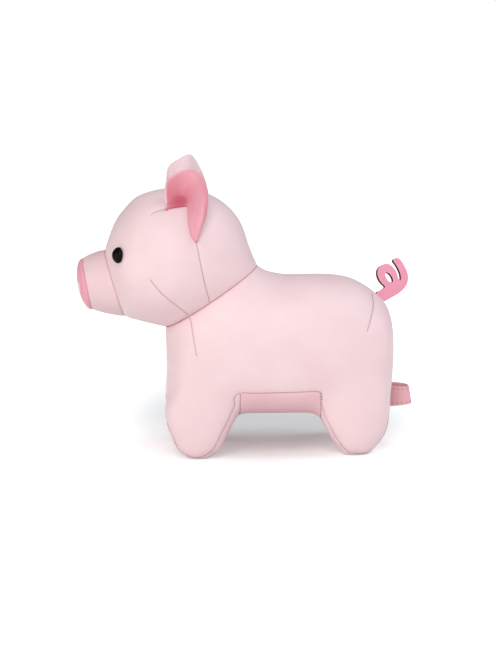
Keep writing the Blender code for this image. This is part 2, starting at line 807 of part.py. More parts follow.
def tail_hole():
    middle = Vector((TAIL_HOLE_SHARES[0] * TAIL_LENGTH, 0, TAIL_HOLE_SHARES[1] * TAIL_LENGTH))
    points = []
    for step in range(TAIL_HOLE_SIDES):
        angle = 2 * pi * step / TAIL_HOLE_SIDES
        along, across = TAIL_HOLE_LONG * cos(angle), TAIL_HOLE_SHORT * sin(angle)
        points.append(middle + Vector((along * cos(TAIL_HOLE_TILT) - across * sin(TAIL_HOLE_TILT), 0,
                                       along * sin(TAIL_HOLE_TILT) + across * cos(TAIL_HOLE_TILT))))
    return points


def plate_mesh(name, loops, low, high, place):
    """Flat plate with an outline and holes, between two depths, stood at a place."""
    mesh = bmesh.new()
    edges = []
    for loop in loops:
        row = [mesh.verts.new(point + Vector((0, low, 0))) for point in loop]
        edges += [mesh.edges.new(pair) for pair in zip(row, row[1:] + row[:1])]
    bmesh.ops.triangle_fill(mesh, edges=edges, use_beauty=True)
    bmesh.ops.recalc_face_normals(mesh, faces=mesh.faces[:])
    pushed = bmesh.ops.extrude_face_region(mesh, geom=mesh.faces[:])
    verts = [item for item in pushed["geom"] if isinstance(item, bmesh.types.BMVert)]
    bmesh.ops.translate(mesh, vec=(0, high - low, 0), verts=verts)
    bmesh.ops.transform(mesh, matrix=place, verts=mesh.verts[:])
    return finish_mesh(mesh, name)


def tail_root_axis():
    """Unit vector along the tail's root line, down the rump."""
    outline = tail_outline()
    return (outline[-1] - outline[0]).normalized()


def make_tail(finish):
    root = Vector((TAIL_ROOT_X, 0, TAIL_ROOT_Z))
    axis = tail_root_axis()
    frame = add_frame("tail_hinge", Matrix.Translation(root))
    outward = Vector((-axis.z, 0, axis.x))
    if outward.x < 0:
        outward = -outward
    first, last = tail_outline()[0], tail_outline()[-1]
    seat = outward * TAIL_ROOT_GAP - (first + last) / 2
    lean = Matrix.Rotation(TAIL_LEAN, 4, axis if axis.z > 0 else -axis)
    place = Matrix.Translation(root) @ lean @ Matrix.Translation(seat)
    loops = [tail_outline(), tail_hole()]
    half = TAIL_CORE / 2
    near = half + TAIL_LAYER_GAP
    for name, low, high, look in (
        ("tail_core", -half, half, "tail_core"),
        ("tail_face_left", -near - TAIL_FACE, -near, "tail_face"),
        ("tail_face_right", near, near + TAIL_FACE, "tail_face"),
    ):
        add_part(name, plate_mesh(name, loops, low, high, place), finish[look], frame)


def tag_grid(offset):
    """Rows of the strap's lower and upper edge, round the fold, moved out by an offset."""
    path = []
    for step in range(-TAG_STEPS, TAG_STEPS + 1):
        share = step / TAG_STEPS
        along = 1 - share * share
        arch = max(sin(pi * abs(share)), 0) ** TAG_BULGE_POWER
        wide = TAG_BULGE * arch + (TAG_ROOT_HALF_GAP + TAG_STRAP / 2) * abs(share)
        path.append((along, wide * (1 if share > 0 else -1), share))
    middle = np.array([(along * (TAG_END_X - TAG_ROOT_X), across) for along, across, _ in path])
    slopes = np.gradient(middle, axis=0)
    slopes /= np.linalg.norm(slopes, axis=1, keepdims=True)
    rows = []
    for height, fold in ((0, 0), (1, TAG_FOLD_SLANT)):
        row = []
        for (along, across, share), slope in zip(path, slopes):
            start = TAG_ROOT_X - (0 if height else TAG_ROOT_SLANT)
            reach = TAG_END_X - TAG_STRAP / 2 - fold - start
            x = start + along * reach + slope[1] * offset
            y = across - slope[0] * offset
            drop = TAG_END_DROP * along * (1 if height == 0 else -1)
            z = (TAG_TOP_Z if height else TAG_BOTTOM_Z) + drop + TAG_SKEW * share
            row.append(Vector((x, y, z)))
        rows.append(row)
    return rows


def make_tag(finish):
    frame = add_frame("tag_hinge", Matrix.Translation((TAG_ROOT_X, 0, TAG_BOTTOM_Z)))
    mesh = sheet_mesh("loop_tag", tag_grid(TAG_STRAP / 2), tag_grid(-TAG_STRAP / 2))
    add_part("loop_tag", mesh, finish["tag"], frame)


def main():
    clear_scene()
    finish = make_materials()
    toy = add_frame("toy", Matrix.Identity(4))
    make_body(finish, toy)
    make_body_filling(finish, toy)
    make_head(finish, toy)
    make_muzzle(finish, toy)
    make_tail(finish)
    make_tag(finish)


main()
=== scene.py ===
import bmesh
import bpy
import numpy as np
from math import cos, pi, radians, sin, sqrt
from mathutils import Matrix, Vector
from mathutils.bvhtree import BVHTree
from mathutils.kdtree import KDTree


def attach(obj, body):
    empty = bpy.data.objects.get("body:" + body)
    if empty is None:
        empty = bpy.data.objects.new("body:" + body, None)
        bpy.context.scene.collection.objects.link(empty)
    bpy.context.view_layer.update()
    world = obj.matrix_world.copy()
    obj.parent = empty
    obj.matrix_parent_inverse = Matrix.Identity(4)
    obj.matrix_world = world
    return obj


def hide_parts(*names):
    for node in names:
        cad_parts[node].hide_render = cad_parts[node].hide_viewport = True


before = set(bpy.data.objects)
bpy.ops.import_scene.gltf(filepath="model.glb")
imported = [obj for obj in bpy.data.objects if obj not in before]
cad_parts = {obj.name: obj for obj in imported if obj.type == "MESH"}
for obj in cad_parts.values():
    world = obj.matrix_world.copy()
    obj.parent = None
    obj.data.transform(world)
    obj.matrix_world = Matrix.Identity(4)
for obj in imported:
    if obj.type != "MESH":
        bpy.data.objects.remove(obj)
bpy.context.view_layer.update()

MM = 0.001

# Torso: where it starts, its length and depth in metres, and its sections as shares of these;
# columns: top x, top z, bottom x, bottom z, half-width, roundness of the upper and the lower half
TORSO_X, TORSO_LENGTH, TORSO_Z, TORSO_DEPTH = -0.0358, 0.1024, 0.0164, 0.0624
TORSO_HALF_WIDTH = 0.0333
TORSO_SECTIONS = (
    (0.411, 1.072, 0.000, 0.642, 0.780, 2.15, 2.15),
    (0.436, 1.037, 0.002, 0.484, 0.879, 2.20, 2.50),
    (0.475, 1.013, 0.002, 0.307, 0.939, 2.25, 2.90),
    (0.534, 0.995, 0.006, 0.144, 0.985, 2.30, 3.20),
    (0.603, 0.992, 0.106, 0.051, 1.000, 2.30, 3.30),
    (0.672, 0.992, 0.263, 0.022, 1.000, 2.30, 3.30),
    (0.741, 0.986, 0.421, 0.016, 1.000, 2.30, 3.30),
    (0.815, 0.962, 0.558, 0.012, 0.990, 2.30, 3.30),
    (0.878, 0.911, 0.687, 0.005, 0.970, 2.30, 3.30),
    (0.931, 0.846, 0.795, 0.000, 0.924, 2.30, 3.30),
    (0.970, 0.777, 0.908, 0.004, 0.848, 2.30, 3.20),
    (0.991, 0.688, 0.965, 0.035, 0.697, 2.30, 3.00),
    (0.999, 0.574, 0.985, 0.203, 0.394, 2.30, 2.60),
    (1.000, 0.444, 1.000, 0.444, 0.000, 2.30, 2.30),
)
# Head, the same way, with one roundness for all its sections
HEAD_X, HEAD_LENGTH, HEAD_Z, HEAD_DEPTH, HEAD_HALF_WIDTH = -0.0620, 0.0683, 0.0565, 0.0621, 0.0363
HEAD_ROUND = 2.15
HEAD_SECTIONS = (
    (0.000, 0.564, 0.124, 0.079, 0.500),
    (0.064, 0.745, 0.157, 0.066, 0.722),
    (0.134, 0.854, 0.201, 0.054, 0.861),
    (0.230, 0.946, 0.246, 0.040, 0.944),
    (0.392, 0.994, 0.290, 0.028, 1.000),
    (0.563, 0.991, 0.327, 0.017, 1.014),
    (0.703, 0.943, 0.349, 0.011, 1.000),
    (0.819, 0.854, 0.363, 0.006, 0.958),
    (0.900, 0.731, 0.373, 0.002, 0.903),
    (0.952, 0.558, 0.380, 0.001, 0.819),
)
# Nose disc, as x and z of its top and bottom, and the muzzle band's swelling as a share
DISC_TOP, DISC_BOTTOM = (-0.0718, 0.0882), (-0.0680, 0.0646)
DISC_HALF_WIDTH, DISC_DOME = 0.0131, 0.0046
BAND_SWELL = 0.025

# Legs: start in x, length, height, and sections as shares of these; columns: height, front,
# back, inner side, outer side
LEG_INNER_Y, LEG_WIDTH, LEG_ROUND = 0.0070, 0.0250, 2.6
FRONT_LEG = (-0.0356, 0.0336, 0.0360, (
    (0.000, 0.270, 0.552, 0.28, 0.76),
    (0.022, 0.228, 0.572, 0.22, 0.81),
    (0.111, 0.112, 0.697, 0.12, 0.90),
    (0.244, 0.054, 0.774, 0.06, 0.95),
    (0.378, -0.004, 0.847, 0.03, 0.97),
    (0.500, -0.024, 0.918, 0.02, 0.975),
    (0.667, -0.020, 0.995, 0.04, 0.975),
    (0.833, 0.083, 0.955, 0.18, 0.965),
    (1.000, 0.240, 0.818, 0.36, 0.90),
))
REAR_LEG = (0.0300, 0.0338, 0.0440, (
    (0.000, 0.359, 0.700, 0.28, 0.76),
    (0.018, 0.342, 0.724, 0.22, 0.81),
    (0.091, 0.268, 0.822, 0.12, 0.90),
    (0.200, 0.175, 0.922, 0.06, 0.95),
    (0.309, 0.100, 0.966, 0.03, 0.97),
    (0.409, 0.040, 0.988, 0.02, 0.975),
    (0.545, 0.002, 0.997, 0.04, 0.975),
    (0.705, 0.047, 0.994, 0.16, 0.96),
    (0.864, 0.163, 0.914, 0.28, 0.88),
    (1.000, 0.337, 0.778, 0.38, 0.74),
))

# Underside seam: its height along x, its half-width at the belly, its height at the soles, and
# how far inside a leg's front and back outline it runs down the leg
SEAM_TOP_X = (-0.0358, -0.0034, 0.0320, 0.0666)
SEAM_TOP_Z = (0.0165, 0.0308, 0.0308, 0.0165)
BELLY_SEAM_HALF_WIDTH, SOLE_SEAM_HEIGHT, LEG_MIDDLE_Y = 0.0318, 0.0006, 0.0215
FRONT_GUSSET_MARGINS, REAR_GUSSET_MARGINS = (0.0006, 0.0036), (0.0022, 0.0006)
SEAM_CORNER = 0.0012
CROSS_SEAMS = (-0.0034, 0.0320)

# Darts and the head's slit, as x and z of points on the left side in millimetres
NECK_SLIT = ((-21.2, 96.7), (-20.5, 93.5), (-18.4, 81.4), (-15.7, 69.5))
FOREHEAD_DART = ((-40.8, 108.9), (-38.8, 109.9), (-36.3, 110.7), (-32.9, 111.4), (-28.7, 111.9),
                 (-24.9, 112.1), (-24.1, 110.8), (-23.9, 105.4), (-22.7, 99.6), (-21.1, 97.4))
CHEEK_DART = ((-41.6, 80.9), (-36.2, 74.1), (-30.6, 68.9), (-25.2, 63.9))
SHOULDER_DART = ((-25.1, 63.1), (-24.3, 60.0), (-23.3, 52.8), (-22.3, 46.8))
RUMP_DART = ((57.0, 70.5), (56.8, 66.0), (54.8, 60.6), (52.9, 55.6))

# Rounding between the legs and the torso, wider on the outer sides above the feet
CREASE_OUTSIDE, CREASE_INSIDE = 5.0 * MM, 2.4 * MM
CREASE_TOP, CREASE_FEET = 50 * MM, 20 * MM

# Cover
VOXEL = 0.8 * MM
COVER = 1.0 * MM
SOLE_Z = 0.15 * MM
NECK_REACH = 6 * MM
GROOVE_LINE, GROOVE_LINE_WIDTH = 0.16 * MM, 0.26 * MM
GROOVE_VALLEY, GROOVE_VALLEY_WIDTH = 0.26 * MM, 1.3 * MM
# SEAM_SHADE_WIDTH: how far the painted shade spreads from a seam
SEAM_SHADE_WIDTH, SHARED_RING_WIDTH, NECK_PULL_WIDTH = 0.27 * MM, 0.9 * MM, 2.0 * MM
ON_MIDDLE = 0.01 * MM
BODY_FILLING_INSET, HEAD_FILLING_INSET, MUZZLE_FILLING_INSET = 1.7 * MM, 1.9 * MM, 1.7 * MM

# Thread: radius, length and gap of the stitches, and the shape of one stitch: places along it,
# thread sizes there, and heights over the surface, as shares of the length and the radius
THREAD_RADIUS, STITCH, STITCH_GAP = 0.12 * MM, 0.75 * MM, 0.65 * MM
THREAD_SIDES = 6
STITCH_SHAPE = ((0.0, 0.35, -0.7), (0.08, 0.9, 0.1), (0.5, 1.0, 0.45), (0.92, 0.9, 0.1),
                (1.0, 0.35, -0.7))

# Rings and sides of the lofts, and how far from a seam the surface is split, in rounds
TORSO_GRID, LEG_GRID, HEAD_GRID = (90, 112), (50, 56), (120, 176)
TORSO_FILLING_GRID, LEG_FILLING_GRID, HEAD_FILLING_GRID = (48, 56), (26, 36), (48, 64)
BAND_RINGS, DOME_RINGS, FINE_SIDES = 30, 25, 720
BODY_SPLITS, HEAD_SPLITS, DISC_SPLITS = ((1.5 * MM, 0.8 * MM), (1.4 * MM, 0.7 * MM),
                                         (1.2 * MM, 0.6 * MM))
RAY_START_Y = -0.08

# Smooth leather
LEATHER_GRAIN, LEATHER_RELIEF, LEATHER_ROUGH = 1700.0, 0.30, (0.42, 0.54)
# Looks of leather: name, colour, its mottling, its painted shade down in the seams and in the ears'
# hollows, sheen if it isn't 0.03
LEATHERS = {
    "cover": ("cover_pink", (246, 218, 221), (242, 211, 215), (236, 194, 202)),
    # The cover leather made pinker and darker: painted shade and pink bounce light on the underside
    "underside": ("underside_shaded_pink", (242, 202, 207), (238, 194, 200), (228, 176, 186)),
    "lining": ("ear_lining_pink", (238, 168, 182), (232, 158, 173), (198, 88, 108)),
    # The cover leather a little darker: painted shade on the muzzle
    "muzzle": ("muzzle_shaded_pink", (238, 207, 210), (234, 201, 205), (236, 194, 202)),
    # The cover leather darker: painted shade on the ears' backs
    "ear_back_shaded": ("ear_back_shaded_pink", (238, 210, 216), (232, 203, 211), (228, 190, 199)),
    "nose": ("nose_pink", (241, 166, 182), (236, 156, 173), (182, 98, 114)),
    "tail": ("tail_pink", (243, 160, 182), (238, 152, 174), (215, 120, 140)),
    "tag": ("tag_pink", (234, 180, 186), (228, 170, 178), (170, 95, 108), 0.05),
}
THREADS = {
    "seam_thread": ("thread_dusty_pink", (150, 94, 100)),
    "tag_thread": ("thread_rose", (168, 84, 100)),
    "nostril_thread": ("thread_pale_pink", (255, 240, 238)),
}

# Camera, fitted to the photograph
AZIMUTH, ELEVATION, ROLL = radians(-2.0), radians(7.5), radians(-1.1)
DISTANCE, TARGET, LENS = 0.9082, (0.00155, 0.0, 0.05276), 109.0


# ---- colours and materials

def linear(colour):
    """Linear colour of an sRGB one written in 0 to 255."""
    values = []
    for part in colour:
        value = part / 255
        values.append(value / 12.92 if value <= 0.04045 else ((value + 0.055) / 1.055) ** 2.4)
    return (*values, 1.0)


class Nodes:
    """A node tree, with short calls to add and link nodes."""

    def __init__(self, tree):
        self.tree = tree

    def put(self, socket, value):
        """Links an output to an input, or sets the input itself."""
        if hasattr(value, "is_output"):
            self.tree.links.new(value, socket)
        else:
            socket.default_value = value

    def node(self, kind, inputs, **settings):
        item = self.tree.nodes.new(kind)
        for key, value in settings.items():
            setattr(item, key, value)
        for key, value in inputs.items():
            self.put(item.inputs[key], value)
        return item

    def math(self, operation, first, second):
        return self.node("ShaderNodeMath", {0: first, 1: second}, operation=operation).outputs[0]

    def rays(self, *kinds):
        """1 for rays of these kinds and 0 for all others."""
        path = self.node("ShaderNodeLightPath", {})
        level = path.outputs[kinds[0]]
        for kind in kinds[1:]:
            level = self.math("MAXIMUM", level, path.outputs[kind])
        return level

    def span(self, value, low, high, start=0.0, end=1.0):
        return self.node("ShaderNodeMapRange", {
            "Value": value, "From Min": start, "From Max": end, "To Min": low, "To Max": high,
        }).outputs["Result"]


class Shader(Nodes):
    """A material's nodes."""

    def __init__(self, name):
        self.material = bpy.data.materials.new(name)
        self.material.use_nodes = True
        super().__init__(self.material.node_tree)
        self.surface = self.tree.nodes["Principled BSDF"]
        self.output = self.tree.nodes["Material Output"]
        self.place = self.node("ShaderNodeTexCoord", {}).outputs["Object"]

    def noise(self, scale, detail=3.0):
        return self.node("ShaderNodeTexNoise", {
            "Vector": self.place, "Scale": scale, "Detail": detail, "Roughness": 0.55,
        }).outputs["Fac"]

    def cells(self, scale):
        return self.node("ShaderNodeTexVoronoi", {
            "Vector": self.place, "Scale": scale, "Smoothness": 0.6,
        }, feature="SMOOTH_F1").outputs["Distance"]

    def blend(self, amount, first, second):
        return self.node("ShaderNodeMix", {"Factor": amount, "A": first, "B": second},
                         data_type="RGBA").outputs["Result"]

    def bump(self, height, strength, distance, before=None):
        inputs = {"Height": height, "Strength": strength, "Distance": distance}
        if before is not None:
            inputs["Normal"] = before
        return self.node("ShaderNodeBump", inputs).outputs["Normal"]

    def finish(self, inputs):
        """Sets or links the surface's inputs, and gives back the material."""
        for key, value in inputs.items():
            self.put(self.surface.inputs[key], value)
        return self.material


def leather(name, colour, shade, seam, sheen=0.03):
    """Smooth faux leather: fine pebbled grain, faint mottling, and painted shade where each
    vertex's stored shade is high, down in the seams and in the ears' hollows.
    """
    item = Shader(name)
    mottling = item.span(item.noise(55.0, 4.0), 0.0, 1.0, 0.32, 0.70)
    tone = item.blend(mottling, linear(colour), linear(shade))
    # Each vertex's painted shade, darkening the colour towards the shade colour
    near = item.node("ShaderNodeAttribute", {}, attribute_name="seam").outputs["Fac"]
    grain = item.bump(item.cells(LEATHER_GRAIN), LEATHER_RELIEF, 0.05 * MM)
    pores = item.bump(item.noise(LEATHER_GRAIN * 2.6, 2.0), LEATHER_RELIEF * 0.5, 0.02 * MM, grain)
    return item.finish({
        "Base Color": item.blend(near, tone, linear(seam)),
        "Roughness": item.span(item.noise(240.0, 3.0), *LEATHER_ROUGH, 0.3, 0.7),
        "Normal": item.bump(item.noise(95.0, 2.0), 0.10, 0.35 * MM, pores),
        "Sheen Weight": sheen,
        "Sheen Roughness": 0.45,
        "Sheen Tint": linear((255, 235, 238)),
    })


def thread(name, colour):
    """Twisted sewing thread."""
    item = Shader(name)
    colour = linear(colour)
    dark = (*(0.7 * part for part in colour[:3]), 1.0)
    return item.finish({
        "Base Color": item.blend(item.noise(2600.0, 2.0), colour, dark),
        "Normal": item.bump(item.noise(5200.0, 1.0), 0.6, 0.05 * MM),
        "Roughness": item.span(item.noise(900.0), 0.5, 0.75),
    })


def glossy_plastic(name, colour, worn):
    """Polished plastic with hairline rub marks."""
    item = Shader(name)
    marks = item.span(item.noise(700.0, 5.0), 0.0, 1.0, 0.45, 0.75)
    return item.finish({
        "Base Color": item.blend(marks, linear(colour), linear(worn)),
        "Roughness": item.span(item.noise(1500.0, 4.0), 0.05, 0.12),
        "Normal": item.bump(item.noise(420.0, 1.0), 0.03, 0.1 * MM),
        "Specular IOR Level": 0.0,
        "Coat Weight": 0.15,
        "Coat Roughness": 0.04,
    })


def matt(name, colour, shade, scale, rough=0.85, relief=0.4, depth=0.1 * MM):
    """Matt material with an uneven tone and a rough relief at its own scale."""
    item = Shader(name)
    return item.finish({
        "Base Color": item.blend(item.noise(scale, 4.0), linear(colour), linear(shade)),
        "Normal": item.bump(item.noise(scale * 1.7, 4.0), relief, depth),
        "Roughness": item.span(item.noise(scale * 0.6), rough - 0.08, min(rough + 0.08, 1.0)),
    })


def make_materials():
    looks = {key: leather(*values) for key, values in LEATHERS.items()}
    looks.update({key: thread(*values) for key, values in THREADS.items()})
    looks["tail_edge"] = matt("tail_edge_brown", (84, 50, 40), (52, 30, 24), 900.0)
    looks["eye"] = glossy_plastic("eye_black", (10, 6, 5), (20, 13, 11))
    looks["washer"] = matt("washer_white", (224, 224, 220), (205, 205, 200), 300.0, 0.5, 0.1)
    looks["filling"] = matt("filling_white", (240, 238, 232), (214, 211, 204), 420.0, 0.95, 0.9,
                            0.6 * MM)
    return looks


# ---- numeric curves and lofts

def curve_values(rows, count):
    """Rows interpolated by a Catmull-Rom curve at evenly spaced places."""
    rows = np.asarray(rows, float)
    last = len(rows) - 1
    place = np.linspace(0, last, count)
    number = np.minimum(place.astype(int), last - 1)
    t = (place - number)[:, None]
    before = rows[np.maximum(number - 1, 0)]
    first, second = rows[number], rows[number + 1]
    after = rows[np.minimum(number + 2, last)]
    return 0.5 * (2 * first + (second - before) * t
                  + (2 * before - 5 * first + 4 * second - after) * t ** 2
                  + (3 * first - before - 3 * second + after) * t ** 3)


def bell(distance, width):
    """1 at no distance, falling to nothing over the width."""
    return np.exp(-(distance / width) ** 2)


def rounded(wave, power):
    """A circle's cosine or sine, bent to a superellipse's."""
    return np.sign(wave) * np.abs(wave) ** (2 / power)


def fan(rows, sides):
    """Rings of superellipses through top and bottom points, from the top down the left side."""
    rows = np.asarray(rows, float)
    angle = np.linspace(0, 2 * pi, sides, endpoint=False)
    power = np.where(np.cos(angle) >= 0, rows[:, 5:6], rows[:, 6:7])
    rise, side = rounded(np.cos(angle), power), rounded(np.sin(angle), power)
    middle = (rows[:, 0:2] + rows[:, 2:4]) / 2
    half = (rows[:, 0:2] - rows[:, 2:4]) / 2
    x = middle[:, 0:1] + half[:, 0:1] * rise
    z = middle[:, 1:2] + half[:, 1:2] * rise
    return np.stack([x, -rows[:, 4:5] * side, z], axis=2)


def torso_rows():
    rows = np.array(TORSO_SECTIONS)
    rows[:, (0, 2)] = TORSO_X + rows[:, (0, 2)] * TORSO_LENGTH
    rows[:, (1, 3)] = TORSO_Z + rows[:, (1, 3)] * TORSO_DEPTH
    rows[:, 4] *= TORSO_HALF_WIDTH
    return rows


def head_rows():
    rows = np.array([row + (HEAD_ROUND, HEAD_ROUND) for row in HEAD_SECTIONS])
    rows[:, (0, 2)] = HEAD_X + rows[:, (0, 2)] * HEAD_LENGTH
    rows[:, (1, 3)] = HEAD_Z + rows[:, (1, 3)] * HEAD_DEPTH
    rows[:, 4] *= HEAD_HALF_WIDTH
    return np.vstack([rows, torso_rows()[:1]])


def disc_row():
    return np.array([[*DISC_TOP, *DISC_BOTTOM, DISC_HALF_WIDTH, HEAD_ROUND, HEAD_ROUND]])


def leg_rings(leg, count, sides):
    start, length, height, shares = leg
    rows = curve_values(shares, count)
    angle = np.linspace(0, 2 * pi, sides, endpoint=False)
    along, side = rounded(np.cos(angle), LEG_ROUND), rounded(np.sin(angle), LEG_ROUND)
    front, back, inner, outer = (rows[:, place:place + 1] for place in (1, 2, 3, 4))
    x = start + ((front + back) + (back - front) * along) / 2 * length
    y = -(LEG_INNER_Y + ((inner + outer) + (outer - inner) * side) / 2 * LEG_WIDTH)
    return np.stack([x, y, np.repeat(rows[:, 0:1] * height, sides, axis=1)], axis=2)


def ring_faces(rows, sides, start=0, closed=True):
    """Quads of a grid of points, as rows of vertex numbers."""
    faces = []
    last = sides if closed else sides - 1
    for row in range(rows - 1):
        low = start + row * sides
        for step in range(last):
            after = (step + 1) % sides
            faces.append((low + step, low + after, low + sides + after, low + sides + step))
    return faces


def tube_faces(count, sides, start=0):
    """Faces of a tube of closed rings, with its two flat ends."""
    last = start + (count - 1) * sides
    return ring_faces(count, sides, start) + [tuple(range(start, start + sides)),
                                              tuple(range(last, last + sides))]


def closed_loft(rings):
    """Points and faces of a loft of closed rings with flat ends."""
    return rings.reshape(-1, 3), tube_faces(*rings.shape[:2])


def ring_plane(ring):
    """Middle and unit normal of a flat ring, the normal towards +X."""
    middle = ring.mean(axis=0)
    normal = np.linalg.svd(ring - middle)[2][2]
    return middle, normal * np.sign(normal[0])


def lengths_along(points):
    """How far along a polyline each of its points lies."""
    return np.concatenate([[0], np.cumsum(np.linalg.norm(np.diff(points, axis=0), axis=1))])


def at_lengths(points, along, places):
    return np.stack([np.interp(places, along, points[:, axis]) for axis in range(3)], axis=-1)


def even_line(points, spacing):
    """A polyline's points at even spacing."""
    points = np.asarray(points)
    along = lengths_along(points)
    count = max(int(along[-1] / spacing), 2)
    return at_lengths(points, along, np.linspace(0, along[-1], count))


def soften_line(points, rounds=4):
    points = np.array(points)
    for _ in range(rounds):
        points[1:-1] = (points[:-2] + 2 * points[1:-1] + points[2:]) / 4
    return points


# ---- meshes

def add_object(name, data):
    item = bpy.data.objects.new(name, data)
    bpy.context.scene.collection.objects.link(item)
    return item


def mesh_object(name, points, faces, material=None):
    data = bpy.data.meshes.new(name)
    data.from_pydata([tuple(point) for point in points], [], [tuple(face) for face in faces])
    data.validate()
    if material:
        data.materials.append(material)
    data.shade_smooth()
    return add_object(name, data)


def dress(item, node, body="toy"):
    """The piece rides on a body and stands for a CAD node."""
    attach(item, body)
    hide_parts(node)


def bmesh_of(data):
    mesh = bmesh.new()
    mesh.from_mesh(data)
    return mesh


def change(item, action):
    """Runs an action on an object's mesh."""
    mesh = bmesh_of(item.data)
    action(mesh)
    mesh.to_mesh(item.data)
    mesh.free()


def object_tree(item):
    mesh = bmesh_of(item.data)
    tree = BVHTree.FromBMesh(mesh)
    mesh.free()
    return tree


def fix_normals(item):
    change(item, lambda mesh: bmesh.ops.recalc_face_normals(mesh, faces=mesh.faces[:]))


def shrink(item, distance):
    def draw_in(mesh):
        mesh.normal_update()
        for vert in mesh.verts:
            vert.co -= vert.normal * distance
    change(item, draw_in)


def keep_seam(item, values):
    """Stores how much painted shade each vertex takes, which the leather's tone reads: nearness to
    a seam, or on an ear its hollow and turned edge.
    """
    layer = item.data.attributes.new("seam", "FLOAT", "POINT")
    layer.data.foreach_set("value", values.astype(np.float32))


def places(verts):
    return np.array([tuple(vert.co) for vert in verts])


def on_middle(vert):
    return abs(vert.co.y) <= ON_MIDDLE


def relax(points, edges, rounds, weight, factors=(0.5,)):
    """Smooths points along their edges; a second factor, below 0, undoes the shrinking."""
    degree = np.bincount(edges.ravel(), minlength=len(points)).astype(float)[:, None]
    degree[degree == 0] = 1
    first, second = edges.T
    for factor in factors * rounds:
        total = np.stack([np.bincount(first, points[second, axis], len(points))
                          + np.bincount(second, points[first, axis], len(points))
                          for axis in range(3)], axis=1)
        points = points + factor * weight[:, None] * (total / degree - points)
    return points


def mesh_edges(mesh):
    mesh.verts.index_update()
    return np.array([[vert.index for vert in edge.verts] for edge in mesh.edges])


def from_left(tree, x, z):
    """Where a surface is met from the left, and its normal there."""
    return tree.ray_cast(Vector((x, RAY_START_Y, z)), Vector((0, 1, 0)))[:2]


def line_on(tree, line):
    """Points of an x and z line, in millimetres, on the surface seen from the left."""
    met = [from_left(tree, x * MM, z * MM)[0] for x, z in curve_values(line, len(line) * 8)]
    return np.array([tuple(place) for place in met if place is not None])


def chains(edges):
    """Ordered vertex lists from pairs of vertex numbers."""
    links = {}
    for first, second in edges:
        links.setdefault(first, []).append(second)
        links.setdefault(second, []).append(first)
    result = []
    left = {tuple(sorted(pair)) for pair in edges}
    ends = [vert for vert, near in links.items() if len(near) != 2] + list(links)
    for start in ends:
        for near in links[start]:
            pair = tuple(sorted((start, near)))
            if pair not in left:
                continue
            chain = [start, near]
            left.discard(pair)
            while len(links[chain[-1]]) == 2:
                following = [vert for vert in links[chain[-1]] if vert != chain[-2]]
                if not following:
                    break
                pair = tuple(sorted((chain[-1], following[0])))
                if pair not in left:
                    break
                left.discard(pair)
                chain.append(following[0])
            result.append(chain)
    return result


def refine(mesh, tree, reach):
    """Splits the edges whose middle lies within reach of a line."""
    near = []
    for edge in mesh.edges:
        middle = (edge.verts[0].co + edge.verts[1].co) / 2
        if edge.calc_length() > reach * 0.2 and tree.find(middle)[2] < reach:
            near.append(edge)
    bmesh.ops.subdivide_edges(mesh, edges=near, cuts=1, use_grid_fill=True)


def point_tree(points):
    tree = KDTree(len(points))
    for number, point in enumerate(points):
        tree.insert(point, number)
    tree.balance()
    return tree


def line_tree(lines, spacing=0.2 * MM):
    return point_tree(np.vstack([even_line(line, spacing) for line in lines]))


def ring_guide(ring):
    """Tree of a closed ring's points and the outward direction at each, in the ring's plane."""
    ring = even_line(np.vstack([ring, ring[:1]]), 0.1 * MM)[:-1]
    middle, normal = ring_plane(ring)
    ahead = np.roll(ring, -1, axis=0) - np.roll(ring, 1, axis=0)
    outward = np.cross(ahead, normal)
    outward /= np.linalg.norm(outward, axis=1, keepdims=True)
    outward *= np.sign(np.sum(outward * (ring - middle)))
    return point_tree(ring), outward


def groove(mesh, tree, guides):
    """Sinks the surface along the lines and keeps each vertex's nearness to them, which paints
    shade down in the seams.

    Next to a shared ring the surface sinks in the ring's own plane, so that both sides meet."""
    layer = mesh.verts.layers.float.new("seam")
    mesh.normal_update()
    moves = []
    for vert in mesh.verts:
        away = tree.find(vert.co)[2]
        depth = (GROOVE_LINE * bell(away, GROOVE_LINE_WIDTH)
                 + GROOVE_VALLEY * bell(away, GROOVE_VALLEY_WIDTH))
        # Painted shade down in the seam, fading over its width
        vert[layer] = float(bell(away, SEAM_SHADE_WIDTH))
        direction = vert.normal.copy()
        for guide, outward in guides:
            _, number, gap = guide.find(vert.co)
            share = float(bell(gap, SHARED_RING_WIDTH))
            direction = direction.lerp(Vector(outward[number]), share)
        if on_middle(vert) and vert.is_boundary:
            direction.y = 0
        moves.append(direction.normalized() * float(depth))
    for vert, move in zip(mesh.verts, moves):
        vert.co -= move
    mesh.normal_update()


def sew(mesh, lines, guides, splits):
    """Splits the surface finely next to some lines and sinks it along them."""
    near = line_tree(lines)
    for reach in splits:
        refine(mesh, near, reach)
    groove(mesh, near, guides)


